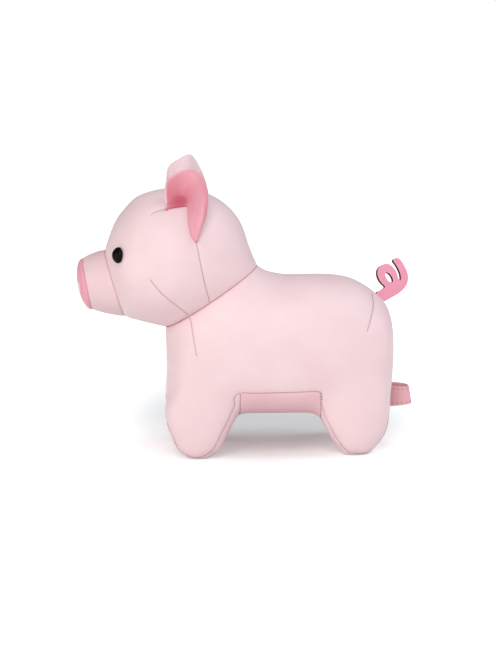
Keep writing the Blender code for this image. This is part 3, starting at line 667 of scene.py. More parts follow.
def panel(name, mesh, faces, material, mirror=None):
    """A sewn panel from some of a mesh's faces, given the cover's thickness inwards.

    mirror is None for the left side as it is, "only" for the right side, "both" for the two."""
    layer = mesh.verts.layers.float["seam"]
    verts = list({vert: None for face in faces for vert in face.verts})
    count = len(verts)
    number = {vert: place for place, vert in enumerate(verts)}
    polygons = [tuple(number[vert] for vert in face.verts) for face in faces]
    sides = {side: None for polygon in polygons for side in zip(polygon, polygon[1:] + polygon[:1])}
    shell = polygons + [tuple(vert + count for vert in reversed(polygon)) for polygon in polygons]
    shell += [(second, first, first + count, second + count)
              for first, second in sides if (second, first) not in sides]
    points = places(verts)
    normals = np.array([tuple(vert.normal) for vert in verts])
    every = np.vstack([points, points - normals * COVER])
    near = np.array([vert[layer] for vert in verts] + [0.0] * count)
    if mirror:
        other = every * (1, -1, 1)
        turned = [tuple(reversed(polygon)) for polygon in shell]
        if mirror == "only":
            every, shell = other, turned
        else:
            shell += [tuple(vert + len(every) for vert in polygon) for polygon in turned]
            every = np.vstack([every, other])
            near = np.concatenate([near, near])
    item = mesh_object(name, every, shell, material)
    keep_seam(item, near)
    return item


def thread_ring(middle, side, up, size):
    """Points round a thread."""
    angles = (2 * pi * step / THREAD_SIDES for step in range(THREAD_SIDES))
    return [tuple(middle + (side * cos(angle) + up * sin(angle)) * size) for angle in angles]


def stitches(name, lines, tree, material, both=True, radius=THREAD_RADIUS, length=STITCH,
             gap=STITCH_GAP):
    """Thread shown as short rounded stitches along lines on a surface."""
    points, faces = [], []
    for line in lines:
        smooth = even_line(line, 0.25 * MM)
        along = lengths_along(smooth)
        start = gap / 2
        while start + length < along[-1]:
            faces += tube_faces(len(STITCH_SHAPE), THREAD_SIDES, len(points))
            for share, size, rise in STITCH_SHAPE:
                before, middle, after = at_lengths(
                    smooth, along, start + length * share + 0.1 * MM * np.array([-1, 0, 1]))
                found, normal, _, _ = tree.find_nearest(Vector(middle))
                ahead = Vector(after - before).normalized()
                side = ahead.cross(normal).normalized()
                up = side.cross(ahead).normalized()
                points += thread_ring(found + up * (radius * rise), side, up, radius * size)
            start += length + gap
    points = np.array(points)
    if both:
        faces += [tuple(vert + len(points) for vert in reversed(face)) for face in faces]
        points = np.vstack([points, points * (1, -1, 1)])
    item = mesh_object(name, points, faces, material)
    fix_normals(item)
    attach(item, "toy")
    return item


def stuffing(name, rings, inset, looks):
    """Filling of a closed loft, drawn in from the cover."""
    item = mesh_object("stuffing_" + name, *closed_loft(rings), looks["filling"])
    fix_normals(item)
    shrink(item, inset)
    return item


def finish_filling(item, node):
    dress(item, node)


# ---- body

def leg_side(points, leg, front_margin, back_margin):
    """Above 0 on the outer side of a leg, between its front and back gusset seams."""
    start, length, height, shares = leg
    rows = np.array(shares)
    front = start + np.interp(points[:, 2], rows[:, 0] * height, rows[:, 1]) * length
    back = start + np.interp(points[:, 2], rows[:, 0] * height, rows[:, 2]) * length
    limits = np.stack([points[:, 0] - front - front_margin,
                       back - back_margin - points[:, 0],
                       points[:, 2] - SOLE_SEAM_HEIGHT,
                       np.abs(points[:, 1]) - LEG_MIDDLE_Y], axis=1)
    return -SEAM_CORNER * np.log(np.exp(-limits / SEAM_CORNER).sum(axis=1))


def underside(points):
    """Above 0 on the underside panels and below 0 on the side panels."""
    sides = np.stack([points[:, 2] - np.interp(points[:, 0], SEAM_TOP_X, SEAM_TOP_Z),
                      np.abs(points[:, 1]) - BELLY_SEAM_HALF_WIDTH,
                      leg_side(points, FRONT_LEG, *FRONT_GUSSET_MARGINS),
                      leg_side(points, REAR_LEG, *REAR_GUSSET_MARGINS)], axis=1)
    return -SEAM_CORNER * np.log(np.exp(sides / SEAM_CORNER).sum(axis=1))


def underside_slope(points):
    step = 0.05 * MM
    return np.stack([(underside(points + way) - underside(points - way)) / (2 * step)
                     for way in np.eye(3) * step], axis=1)


def body_surface():
    """The torso and legs grown into one smooth closed surface, and the neck's plane."""
    rings = fan(curve_values(torso_rows(), TORSO_GRID[0]), TORSO_GRID[1])
    middle, normal = ring_plane(rings[0])
    parts = [closed_loft(np.concatenate([(rings[0] - normal * NECK_REACH)[None], rings]))]
    for leg in (FRONT_LEG, REAR_LEG):
        points, faces = closed_loft(leg_rings(leg, *LEG_GRID))
        parts += [(points, faces), (points * (1, -1, 1), faces)]
    solids = [mesh_object("form", points, faces) for points, faces in parts]
    joined = bmesh.new()
    for item in solids:
        fix_normals(item)
        joined.from_mesh(item.data)
    shapes = [object_tree(item) for item in solids]
    whole = add_object("whole", bpy.data.meshes.new("whole"))
    joined.to_mesh(whole.data)
    joined.free()
    grid = whole.modifiers.new("grid", "REMESH")
    grid.mode = "VOXEL"
    grid.voxel_size = VOXEL
    graph = bpy.context.evaluated_depsgraph_get()
    result = bpy.data.meshes.new_from_object(whole.evaluated_get(graph))
    for extra in solids + [whole]:
        bpy.data.objects.remove(extra, do_unlink=True)
    mesh = bmesh_of(result)
    bpy.data.meshes.remove(result)
    points, edges = places(mesh.verts), mesh_edges(mesh)
    everywhere = np.ones(len(points))
    points = relax(points, edges, 12, everywhere, (0.5, -0.52))
    crease = np.zeros(len(points))
    for number, point in enumerate(points):
        if point[2] > CREASE_TOP:
            continue
        torso_gap, *leg_gaps = (shape.find_nearest(point)[3] for shape in shapes)
        outside = abs(point[1]) > LEG_MIDDLE_Y and point[2] > CREASE_FEET
        crease[number] = bell(max(torso_gap, min(leg_gaps)),
                              CREASE_OUTSIDE if outside else CREASE_INSIDE)
    points = relax(points, edges, 110, crease)
    points = relax(points, edges, 6, everywhere)
    points[:, 2] = np.maximum(points[:, 2], SOLE_Z)
    for vert, point in zip(mesh.verts, points):
        vert.co = point
    mesh.normal_update()
    return mesh, middle, normal


def cut_away(mesh, place, normal):
    """Removes what lies on the normal's side of a plane."""
    bmesh.ops.bisect_plane(mesh, geom=mesh.verts[:] + mesh.edges[:] + mesh.faces[:],
                           dist=ON_MIDDLE, plane_co=place, plane_no=normal, clear_outer=True)


def face_middles(mesh):
    return np.array([tuple(face.calc_center_median()) for face in mesh.faces])


def snap_to_seam(mesh):
    """Moves the vertices between the side and underside faces onto the seam."""
    for _ in range(3):
        mesh.normal_update()
        inside = underside(face_middles(mesh)) > 0
        mesh.faces.index_update()
        between = [vert for vert in mesh.verts
                   if len({bool(inside[face.index]) for face in vert.link_faces}) == 2]
        points = places(between)
        normals = np.array([tuple(vert.normal) for vert in between])
        slope = underside_slope(points)
        slope -= normals * np.sum(slope * normals, axis=1, keepdims=True)
        size = np.sum(slope * slope, axis=1, keepdims=True)
        move = -underside(points)[:, None] * slope / np.maximum(size, 0.05)
        length = np.linalg.norm(move, axis=1, keepdims=True)
        move *= np.minimum(1, 0.5 * MM / np.maximum(length, 1e-9))
        for vert, step in zip(between, move):
            if on_middle(vert):
                step[1] = 0
            vert.co += Vector(step)
        on_seam = set(between)
        # The list is walked, not the set, whose order differs from run to run
        for vert in between:
            near = [edge.other_vert(vert) for edge in vert.link_edges]
            near = [other for other in near if other in on_seam]
            if len(near) == 2 and not on_middle(vert):
                vert.co = vert.co * 0.6 + (near[0].co + near[1].co) * 0.2
    mesh.normal_update()
    return inside


def meet_ring(mesh, ring):
    """Draws the open neck edge, and less and less what follows it, onto the head's last ring."""
    border = [vert for vert in mesh.verts if vert.is_boundary]
    ends = [vert for vert in border if not on_middle(vert)]
    ends += [vert for vert in border if on_middle(vert)
             and any(edge.is_boundary and not on_middle(edge.other_vert(vert))
                     for edge in vert.link_edges)]
    goal = line_tree([np.vstack([ring, ring[:1]])], 0.05 * MM)
    shifts = []
    for vert in ends:
        place = goal.find(vert.co)[0]
        if on_middle(vert):
            place = Vector((place.x, 0, place.z))
        shifts.append(place - vert.co)
    start = point_tree([vert.co for vert in ends])
    moves = []
    for vert in mesh.verts:
        _, number, gap = start.find(vert.co)
        move = shifts[number] * float(bell(gap, NECK_PULL_WIDTH))
        if on_middle(vert):
            move.y = 0
        moves.append(move)
    for vert, move in zip(mesh.verts, moves):
        vert.co += move
    mesh.normal_update()


def split_near_seams(mesh, darts, reach):
    """Splits the body's edges that lie near a seam, a dart or the middle."""
    values = underside(places(mesh.verts))
    mesh.verts.index_update()
    lines = line_tree(darts)
    near = []
    for edge in mesh.edges:
        first, second = edge.verts
        middle = (first.co + second.co) / 2
        close = min(abs(values[first.index]), abs(values[second.index])) < reach
        cross = (min(abs(middle.x - place) for place in CROSS_SEAMS) < reach
                 and middle.z < CROSS_SEAM_TOP and values[first.index] > -reach)
        if close or cross or abs(middle.y) < reach or lines.find(middle)[2] < reach:
            near.append(edge)
    bmesh.ops.subdivide_edges(mesh, edges=near, cuts=1, use_grid_fill=True)


def body_seams(mesh, area):
    """Lines between the panels, along the middle and round the neck."""
    between, centre, collar = [], [], []
    for edge in mesh.edges:
        pair = (edge.verts[0].index, edge.verts[1].index)
        areas = [area[face.index] for face in edge.link_faces]
        if len(areas) == 2:
            if areas[0] != areas[1]:
                between.append(pair)
        elif all(abs(vert.co.y) < 0.05 * MM for vert in edge.verts):
            if areas[0] != BELLY:
                centre.append(pair)
        else:
            collar.append(pair)
    points = places(mesh.verts)
    return [[soften_line(points[chain]) for chain in chains(pairs) if len(chain) > 8]
            for pairs in (between, centre, collar)]


# Areas of the body's left half, and the panels cut from them: look and mirroring
SIDE, FRONT_GUSSET, BELLY, REAR_GUSSET = range(4)
BODY_PANELS = {
    "body_side_left": (SIDE, "cover", None),
    "body_side_right": (SIDE, "cover", "only"),
    "belly_panel": (BELLY, "underside", "both"),
    "front_leg_gusset_left": (FRONT_GUSSET, "cover", None),
    "front_leg_gusset_right": (FRONT_GUSSET, "cover", "only"),
    "rear_leg_gusset_left": (REAR_GUSSET, "cover", None),
    "rear_leg_gusset_right": (REAR_GUSSET, "cover", "only"),
}
CROSS_CUT_TOP, CROSS_SEAM_TOP = 32 * MM, 30 * MM


def make_body(looks):
    mesh, neck, neck_normal = body_surface()
    cut_away(mesh, neck, -neck_normal)
    cut_away(mesh, (0, 0, 0), (0, 1, 0))
    for place in CROSS_SEAMS:
        low = [face for face in mesh.faces if face.calc_center_median().z < CROSS_CUT_TOP]
        geometry = {item: None for face in low for item in (*face.verts, *face.edges, face)}
        bmesh.ops.bisect_plane(mesh, geom=list(geometry), dist=ON_MIDDLE,
                               plane_co=(place, 0, 0), plane_no=(1, 0, 0))
    tree = BVHTree.FromBMesh(mesh)
    darts = [line_on(tree, SHOULDER_DART), line_on(tree, RUMP_DART)]
    for reach in BODY_SPLITS:
        split_near_seams(mesh, darts, reach)
    inside = snap_to_seam(mesh)
    neck_ring = fan(head_rows()[-1:], FINE_SIDES)[0]
    meet_ring(mesh, neck_ring)
    mesh.verts.index_update()
    mesh.faces.index_update()
    x = face_middles(mesh)[:, 0]
    area = np.full(len(x), SIDE)
    area[inside & (x < CROSS_SEAMS[0])] = FRONT_GUSSET
    area[inside & (x >= CROSS_SEAMS[0]) & (x <= CROSS_SEAMS[1])] = BELLY
    area[inside & (x > CROSS_SEAMS[1])] = REAR_GUSSET
    seams, centre, collars = body_seams(mesh, area)
    groove(mesh, line_tree(seams + centre + collars + darts), [ring_guide(neck_ring)])
    for node, (number, look, mirror) in BODY_PANELS.items():
        faces = [face for face in mesh.faces if area[face.index] == number]
        item = panel("skin_" + node, mesh, faces, looks[look], mirror)
        if mirror == "both":
            change(item, lambda whole: bmesh.ops.remove_doubles(
                whole, verts=whole.verts[:], dist=0.02 * MM))
        dress(item, node)
    surface = BVHTree.FromBMesh(mesh)
    stitches("stitches_underside", seams, surface, looks["seam_thread"])
    stitches("stitches_centre", centre, surface, looks["seam_thread"], both=False)
    stitches("stitches_darts", darts, surface, looks["seam_thread"])
    mesh.free()


def make_body_filling(looks):
    count, sides = TORSO_FILLING_GRID
    torso = fan(curve_values(torso_rows(), count), sides)
    finish_filling(stuffing("torso_filling", torso, BODY_FILLING_INSET, looks), "torso_filling")
    for node, leg in (("front_leg_filling", FRONT_LEG), ("rear_leg_filling", REAR_LEG)):
        left = stuffing(node + "_left", leg_rings(leg, *LEG_FILLING_GRID), BODY_FILLING_INSET,
                        looks)
        right = mesh_object("stuffing_" + node + "_right",
                            places(left.data.vertices) * (1, -1, 1),
                            [tuple(reversed(face.vertices)) for face in left.data.polygons],
                            looks["filling"])
        finish_filling(left, node + "_left")
        finish_filling(right, node + "_right")


# ---- head

def ring_mesh(rings, closed=True):
    mesh = bmesh.new()
    verts = [mesh.verts.new(point) for point in rings.reshape(-1, 3)]
    for face in ring_faces(len(rings), rings.shape[1], closed=closed):
        mesh.faces.new([verts[number] for number in face])
    return mesh


def turn_out(mesh, outward):
    """Makes the faces agree, and turns them all round where most look inwards."""
    bmesh.ops.recalc_face_normals(mesh, faces=mesh.faces[:])
    mesh.normal_update()
    if sum(outward(face) for face in mesh.faces) < 0:
        bmesh.ops.reverse_faces(mesh, faces=mesh.faces[:])


def make_head(looks):
    count, sides = HEAD_GRID
    grid = fan(curve_values(head_rows(), count), sides)[:, :sides // 2 + 1].copy()
    grid[:, (0, -1), 1] = 0
    mesh = ring_mesh(grid, closed=False)
    turn_out(mesh, lambda face: -face.normal.y * face.calc_area())
    tree = BVHTree.FromBMesh(mesh)
    slit = np.vstack([line_on(tree, FOREHEAD_DART), line_on(tree, NECK_SLIT)])
    darts = [slit, line_on(tree, CHEEK_DART)]
    centre = [grid[:, 0], grid[:, -1]]
    rings = fan(head_rows(), FINE_SIDES)
    sew(mesh, darts + centre + [grid[0], grid[-1]],
        [ring_guide(rings[0]), ring_guide(rings[-1])], HEAD_SPLITS)
    for node, mirror in (("head_side_left", None), ("head_side_right", "only")):
        dress(panel("skin_" + node, mesh, mesh.faces[:], looks["cover"], mirror), node)
    surface = BVHTree.FromBMesh(mesh)
    for name, lines, both in (("head_darts", darts, True), ("head_centre", centre, False),
                              ("neck", [grid[-1]], True), ("muzzle", [grid[0]], True)):
        stitches("stitches_" + name, lines, surface, looks["seam_thread"], both)
    mesh.free()
    count, sides = HEAD_FILLING_GRID
    rings = fan(curve_values(head_rows(), count), sides)
    finish_filling(stuffing("head", rings, HEAD_FILLING_INSET, looks), "head_filling")
    return tree


def muzzle_grid():
    head, disc = fan(head_rows()[:1], HEAD_GRID[1])[0], fan(disc_row(), HEAD_GRID[1])[0]
    rings = []
    for share in np.linspace(0, 1, BAND_RINGS):
        ring = head * (1 - share) + disc * share
        middle = ring.mean(axis=0)
        rings.append(middle + (ring - middle) * (1 + BAND_SWELL * sin(pi * share)))
    return np.array(rings)


def make_muzzle(looks):
    rings = muzzle_grid()
    ends = (rings[0], rings[-1])
    closed = [np.vstack([ring, ring[:1]]) for ring in ends]
    guides = [ring_guide(ring) for ring in ends]
    middle = Vector(rings.reshape(-1, 3).mean(axis=0))
    mesh = ring_mesh(rings)
    turn_out(mesh, lambda face: (face.calc_center_median() - middle).dot(face.normal))
    sew(mesh, closed, guides, HEAD_SPLITS)
    band = panel("skin_muzzle_band", mesh, mesh.faces[:], looks["muzzle"])
    dress(band, "muzzle_band")
    mesh.free()

    rim = rings[-1]
    centre, normal = ring_plane(rim)
    forward = -normal
    dome = np.array([centre + (rim - centre) * share + forward * DISC_DOME * sqrt(1 - share * share)
                     for share in np.cos(np.linspace(0, pi / 2, DOME_RINGS + 1)[:-1])])
    mesh = ring_mesh(dome)
    last = {vert for vert in mesh.verts if vert.is_boundary
            and (vert.co - Vector(centre)).length < DISC_HALF_WIDTH * 0.5}
    open_edges = [edge for edge in mesh.edges if edge.is_boundary and last.issuperset(edge.verts)]
    tip = mesh.verts.new(centre + forward * DISC_DOME)
    for edge in open_edges:
        mesh.faces.new((*edge.verts, tip))
    turn_out(mesh, lambda face: face.normal.dot(Vector(forward)))
    sew(mesh, closed[1:], guides[1:], DISC_SPLITS)
    dress(panel("skin_nose_disc", mesh, mesh.faces[:], looks["nose"]), "nose_disc")
    surface = BVHTree.FromBMesh(mesh)
    mesh.free()
    stitches("stitches_nose", closed[1:], surface, looks["nostril_thread"], both=False)
    make_nostrils(looks, surface, centre, forward)
    inside = np.concatenate([rings[::3], dome[1:]])
    finish_filling(stuffing("muzzle", inside, MUZZLE_FILLING_INSET, looks), "muzzle_filling")


# Nostrils: place from the disc's middle, size, and their threads' number, start, radius and rise
NOSTRIL_Y, NOSTRIL_WIDE, NOSTRIL_HIGH = 8.6 * MM, 1.6 * MM, 1.9 * MM
NOSTRIL_THREADS, NOSTRIL_START = 26, 0.40
NOSTRIL_THREAD_RADIUS, NOSTRIL_THREAD_RISE = 0.23 * MM, 0.34 * MM


def make_nostrils(looks, surface, centre, forward):
    """Two oval embroidered nostrils on the nose disc."""
    up = np.array([DISC_TOP[0] - DISC_BOTTOM[0], 0, DISC_TOP[1] - DISC_BOTTOM[1]])
    up /= np.linalg.norm(up)
    points, faces = [], []
    for side_y in (-NOSTRIL_Y, NOSTRIL_Y):
        middle = centre + forward * DISC_DOME + np.array([0, side_y, 0])
        for step in range(NOSTRIL_THREADS):
            angle = 2 * pi * step / NOSTRIL_THREADS
            reach = up * NOSTRIL_HIGH * sin(angle) + np.array([0, NOSTRIL_WIDE * cos(angle), 0])
            line = even_line([middle + reach * NOSTRIL_START, middle + reach], 0.15 * MM)
            line = [surface.find_nearest(Vector(point))[0] for point in line]
            ahead = (line[-1] - line[0]).normalized()
            last = len(line) - 1
            faces += tube_faces(len(line), THREAD_SIDES, len(points))
            for number, point in enumerate(line):
                found, normal, _, _ = surface.find_nearest(point)
                rise = NOSTRIL_THREAD_RISE * sin(pi * number / last)
                size = NOSTRIL_THREAD_RADIUS * (0.5 if number in (0, last) else 1)
                points += thread_ring(found + normal * rise, ahead.cross(normal).normalized(),
                                      normal, size)
    item = mesh_object("nostril_embroidery", points, faces, looks["nostril_thread"])
    fix_normals(item)
    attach(item, "toy")


# ---- eyes

# Radius and height of the shank and, from the third pair on, of the dome, in millimetres
EYE_X, EYE_Z, EYE_TURN = -0.0548, 0.0912, radians(3)
EYE_PROFILE = ((1.2, -4.9), (1.2, 0.1), (3.15, 0.15), (3.45, 0.24), (3.53, 0.45), (3.51, 0.70),
               (3.39, 1.05), (3.13, 1.50), (2.75, 1.97), (2.24, 2.40), (1.62, 2.74), (0.85, 2.94),
               (0.30, 3.00))


def make_eyes(looks, tree):
    place, normal = from_left(tree, EYE_X, EYE_Z)
    turn = Vector((0, 0, 1)).rotation_difference(normal).to_matrix().to_4x4()
    seat = Matrix.Translation(place) @ Matrix.Rotation(-EYE_TURN, 4, "Z") @ turn
    profile = np.vstack([EYE_PROFILE[:2], curve_values(EYE_PROFILE[2:], 34)]) * MM
    angles = np.linspace(0, 2 * pi, 56, endpoint=False)
    points, faces = closed_loft(np.array([
        [tuple(seat @ Vector((radius * cos(angle), radius * sin(angle), height)))
         for angle in angles] for radius, height in profile]))
    for name, flip in (("eye_left", 1), ("eye_right", -1)):
        item = mesh_object("button_" + name, points * (1, flip, 1), faces, looks["eye"])
        fix_normals(item)
        item.data.set_sharp_from_angle(angle=radians(55))
        dress(item, name)


# ---- ears

# Line on the head that an ear is sewn into, as x and z in millimetres
EAR_BASE = ((-34.2, 111.0), (-32.9, 111.4), (-28.7, 111.9), (-24.9, 112.1), (-24.1, 110.8),
            (-23.9, 105.4), (-22.7, 99.6), (-21.1, 97.4))
# Rims in millimetres, from the front over the tip and down the back; the left ear droops more
EAR_RIMS = {
    "left": (
        (-33.3, -24.6, 111.8), (-33.9, -23.0, 116.5), (-33.8, -21.5, 121.5), (-32.9, -20.8, 123.4),
        (-29.6, -20.2, 125.6), (-25.8, -20.5, 127.1), (-22.0, -21.7, 127.4), (-18.9, -23.8, 125.7),
        (-16.9, -26.4, 122.8), (-15.9, -29.3, 118.6), (-15.9, -31.8, 113.6), (-17.2, -33.9, 107.6),
        (-19.7, -35.0, 101.8), (-21.1, -34.8, 97.7)),
    "right": (
        (-33.0, -24.2, 111.6), (-33.2, -22.8, 118.5), (-33.1, -21.6, 124.8), (-31.9, -20.6, 127.8),
        (-28.5, -20.2, 130.1), (-23.3, -21.0, 132.5), (-20.7, -23.0, 130.6), (-18.4, -25.6, 126.4),
        (-16.5, -28.4, 122.2), (-15.1, -30.8, 117.5), (-14.4, -32.6, 113.0), (-15.0, -34.4, 106.3),
        (-17.0, -35.2, 100.3), (-19.7, -34.8, 94.8)),
}
EAR_HOLLOW, EAR_HOLLOW_PLACE, EAR_HOLLOW_WIDTH = 4.2 * MM, 0.30, 0.18
EAR_FLAP, EAR_FLAP_PLACE, EAR_FLAP_WIDTH = 2.6 * MM, 0.78, 0.18
EAR_LEAF, EAR_SINK, EAR_CLEARANCE = 0.55 * MM, 0.7 * MM, 1.1 * MM
EAR_SOFTNESS, EAR_LEAF_GAP = 0.7 * MM, 0.02 * MM
EAR_ROWS, EAR_STEPS = 40, 100
# Painted shade low in the hollow and, weaker, on the back edge that turns away from the light; up
# the ear and along it
HOLLOW_SHADE_RISE, HOLLOW_SHADE_PLACE, HOLLOW_SHADE_WIDTH = 0.52, 0.28, 0.20
TURNED_SHADE, TURNED_SHADE_PLACE, TURNED_SHADE_WIDTH = 0.62, 0.82, 0.20


def ear_rows(tree, rim, count, steps):
    """Cupped leaf from the sewn line to the rim, on the left side."""
    base = []
    for x, z in curve_values(EAR_BASE, steps):
        place, normal = from_left(tree, x * MM, z * MM)
        base.append(tuple(place - normal * EAR_SINK))
    base = np.array(base)
    rim = curve_values(rim, steps) * MM
    u = np.linspace(0, 1, steps)
    hollow = bell(u - EAR_HOLLOW_PLACE, EAR_HOLLOW_WIDTH)
    flap = bell(u - EAR_FLAP_PLACE, EAR_FLAP_WIDTH)
    rows = []
    for t in np.linspace(0, 1, count):
        row = base * (1 - t) + rim * t
        deep = EAR_HOLLOW * sin(pi * t ** 0.7) * hollow
        row[:, 1] += deep - EAR_FLAP * sin(pi * t) * flap
        row[:, 0] += deep * 0.23
        clearance = EAR_CLEARANCE * min(t / 0.1, 1) - EAR_SINK * max(1 - t / 0.1, 0)
        for point in row:
            place = from_left(tree, point[0], point[2])[0]
            if place is not None:
                gap = (place.y - clearance - point[1]) / EAR_SOFTNESS
                point[1] += EAR_SOFTNESS * (gap - np.log1p(np.exp(gap)) if gap < 30 else 0)
        rows.append(row)
    return np.array(rows)


def make_ears(looks, tree):
    count, steps = EAR_ROWS, EAR_STEPS
    total = count * steps
    t = np.linspace(0, 1, count)[:, None]
    u = np.linspace(0, 1, steps)[None]
    rim = np.minimum(1 - t, np.minimum(u, 1 - u) * 2.2)
    round_rim = np.sqrt(np.clip(1 - (1 - np.minimum(rim / 0.045, 1)) ** 2, 0, 1))
    # Painted shade: low in the hollow, and on the back edge that turns away from the light
    low = bell(t, HOLLOW_SHADE_RISE) * bell(u - HOLLOW_SHADE_PLACE, HOLLOW_SHADE_WIDTH)
    turned = bell(1 - t, TURNED_SHADE_WIDTH) * bell(u - TURNED_SHADE_PLACE, TURNED_SHADE_WIDTH)
    tone = np.tile(np.maximum(low, TURNED_SHADE * turned).ravel(), 2)
    grid = np.arange(total).reshape(count, steps)
    edge = np.concatenate([grid[0], grid[1:, -1], grid[-1, -2::-1], grid[-2:0:-1, 0]]).tolist()
    faces = ring_faces(count, steps, closed=False)
    faces += [tuple(vert + total for vert in reversed(face)) for face in faces]
    faces += [(first, second, second + total, first + total)
              for first, second in zip(edge, edge[1:] + edge[:1])]
    for side, flip in (("left", 1), ("right", -1)):
        rows = ear_rows(tree, EAR_RIMS[side], count, steps)
        normals = np.cross(np.gradient(rows, axis=0), np.gradient(rows, axis=1))
        normals /= np.maximum(np.linalg.norm(normals, axis=2, keepdims=True), 1e-12)
        if normals[:, :, 1].sum() > 0:
            normals = -normals
        # The back leaf takes the cover leather darkened as painted shade
        for name, way, look, slot in (("ear_inner", 1, "lining", "ear_lining"),
                                      ("ear_outer", -1, "ear_back_shaded", "cover")):
            near = rows + normals * way * EAR_LEAF_GAP
            thickness = EAR_LEAF * (0.30 + 0.70 * round_rim[..., None])
            far = rows + normals * way * (EAR_LEAF_GAP + thickness)
            points = np.vstack([near.reshape(-1, 3), far.reshape(-1, 3)]) * (1, flip, 1)
            node = name + "_" + side
            item = mesh_object("leaf_" + node, points, faces, looks[look])
            fix_normals(item)
            keep_seam(item, tone)
            dress(item, node)


# ---- tail

TAIL_ROOT = Vector((0.0608, 0, 0.0666))
TAIL_ROOT_REACH = 0.0016
TAIL_LENGTH, TAIL_LEAN, TAIL_ROOT_GAP = 0.0178, radians(21), 0.0012
TAIL_CORE, TAIL_FACE, TAIL_GAP = 0.8 * MM, 0.6 * MM, 0.05 * MM
# Outline and hole in x and z, as shares of the length, from one end of the sewn root to the other
TAIL_OUTLINE = (
    (-0.098, 0.140), (0.010, 0.202), (0.126, 0.284), (0.047, 0.370), (-0.018, 0.469),
    (-0.055, 0.588), (-0.045, 0.707), (0.026, 0.808), (0.152, 0.871), (0.284, 0.861),
    (0.390, 0.775), (0.470, 0.646), (0.510, 0.480), (0.540, 0.445), (0.575, 0.485),
    (0.565, 0.622), (0.525, 0.728), (0.465, 0.848), (0.404, 0.938), (0.415, 0.993),
    (0.481, 1.020), (0.546, 1.014), (0.622, 0.940), (0.696, 0.808), (0.754, 0.668),
    (0.775, 0.522), (0.743, 0.376), (0.660, 0.252), (0.548, 0.152), (0.422, 0.072),
    (0.264, -0.004), (0.090, -0.060),
)
TAIL_HOLE = (0.255, 0.522)
TAIL_HOLE_LONG, TAIL_HOLE_SHORT, TAIL_HOLE_TILT = 0.0026, 0.0013, radians(-57)
TAIL_BEVEL = 0.07 * MM


def tail_loops():
    rows = np.array(TAIL_OUTLINE)
    pad, steps = 3, 8
    bend = curve_values(np.vstack([rows[-pad:], rows, rows[:pad]]),
                        steps * (len(rows) + 2 * pad - 1) + 1)
    outline = bend[steps * pad:steps * (pad + len(rows) - 1) + 1]
    ends = rows[(-1, 0), :] * TAIL_LENGTH
    inward = np.array([ends[0, 1] - ends[1, 1], ends[1, 0] - ends[0, 0]])
    inward *= TAIL_ROOT_REACH / np.linalg.norm(inward)
    outline = np.vstack([outline * TAIL_LENGTH, np.linspace(ends[0], ends[1], 10) + inward])
    angle = np.linspace(0, 2 * pi, 40, endpoint=False)
    along, across = TAIL_HOLE_LONG * np.cos(angle), TAIL_HOLE_SHORT * np.sin(angle)
    tilt_x, tilt_z = cos(TAIL_HOLE_TILT), sin(TAIL_HOLE_TILT)
    hole = np.stack([TAIL_HOLE[0] * TAIL_LENGTH + along * tilt_x - across * tilt_z,
                     TAIL_HOLE[1] * TAIL_LENGTH + along * tilt_z + across * tilt_x], axis=1)
    return outline, hole


def plate(name, loops, low, high, place, face_look, edge_look):
    """A cut layer between two depths, with a rounded edge; edge faces get their own finish."""
    mesh = bmesh.new()
    edges = []
    for loop in loops:
        row = [mesh.verts.new((x, low, z)) for x, z in loop]
        edges += [mesh.edges.new(pair) for pair in zip(row, row[1:] + row[:1])]
    bmesh.ops.triangle_fill(mesh, edges=edges, use_beauty=True)
    bmesh.ops.recalc_face_normals(mesh, faces=mesh.faces[:])
    pushed = bmesh.ops.extrude_face_region(mesh, geom=mesh.faces[:])
    verts = [item for item in pushed["geom"] if isinstance(item, bmesh.types.BMVert)]
    bmesh.ops.translate(mesh, vec=(0, high - low, 0), verts=verts)
    bmesh.ops.recalc_face_normals(mesh, faces=mesh.faces[:])
    for face in mesh.faces:
        face.material_index = 0 if abs(face.normal.y) > 0.5 else 1
    bmesh.ops.transform(mesh, matrix=place, verts=mesh.verts[:])
    data = bpy.data.meshes.new(name)
    mesh.to_mesh(data)
    mesh.free()
    data.materials.append(face_look)
    data.materials.append(edge_look)
    item = add_object(name, data)
    bevel = item.modifiers.new("edge", "BEVEL")
    bevel.width = TAIL_BEVEL
    bevel.segments = 2
    bevel.limit_method = "ANGLE"
    bevel.angle_limit = radians(50)
    bevel.harden_normals = True
    data.shade_smooth()
    return item


def make_tail(looks):
    first, last = (Vector((x, 0, z)) * TAIL_LENGTH for x, z in (TAIL_OUTLINE[0], TAIL_OUTLINE[-1]))
    axis = (last - first).normalized()
    outward = Vector((-axis.z, 0, axis.x))
    if outward.x < 0:
        outward = -outward
    seat = outward * TAIL_ROOT_GAP - (first + last) / 2
    lean = Matrix.Rotation(TAIL_LEAN, 4, axis if axis.z > 0 else -axis)
    place = Matrix.Translation(TAIL_ROOT) @ lean @ Matrix.Translation(seat)
    loops = tail_loops()
    half = TAIL_CORE / 2
    near = half + TAIL_GAP
    for node, low, high, look, slot in (
        ("tail_core", -half, half, "tail_edge", "tail_core"),
        ("tail_face_left", -near - TAIL_FACE, -near, "tail", "tail_face"),
        ("tail_face_right", near, near + TAIL_FACE, "tail", "tail_face"),
    ):
        item = plate("curl_" + node, loops, low, high, place, looks[look], looks["tail_edge"])
        dress(item, node, "tail")


# ---- loop tag

TAG_END_X, TAG_ROOT_X, TAG_ROOT_SLANT, TAG_FOLD_SLANT = 0.0753, 0.0650, 0.0010, 0.0012
TAG_BOTTOM_Z, TAG_TOP_Z, TAG_END_DROP, TAG_SKEW = 0.0180, 0.0276, 0.0008, 0.0006
TAG_STRAP, TAG_BULGE, TAG_BULGE_POWER, TAG_ROOT_HALF_GAP = 0.0009, 0.0033, 0.6, 0.0003
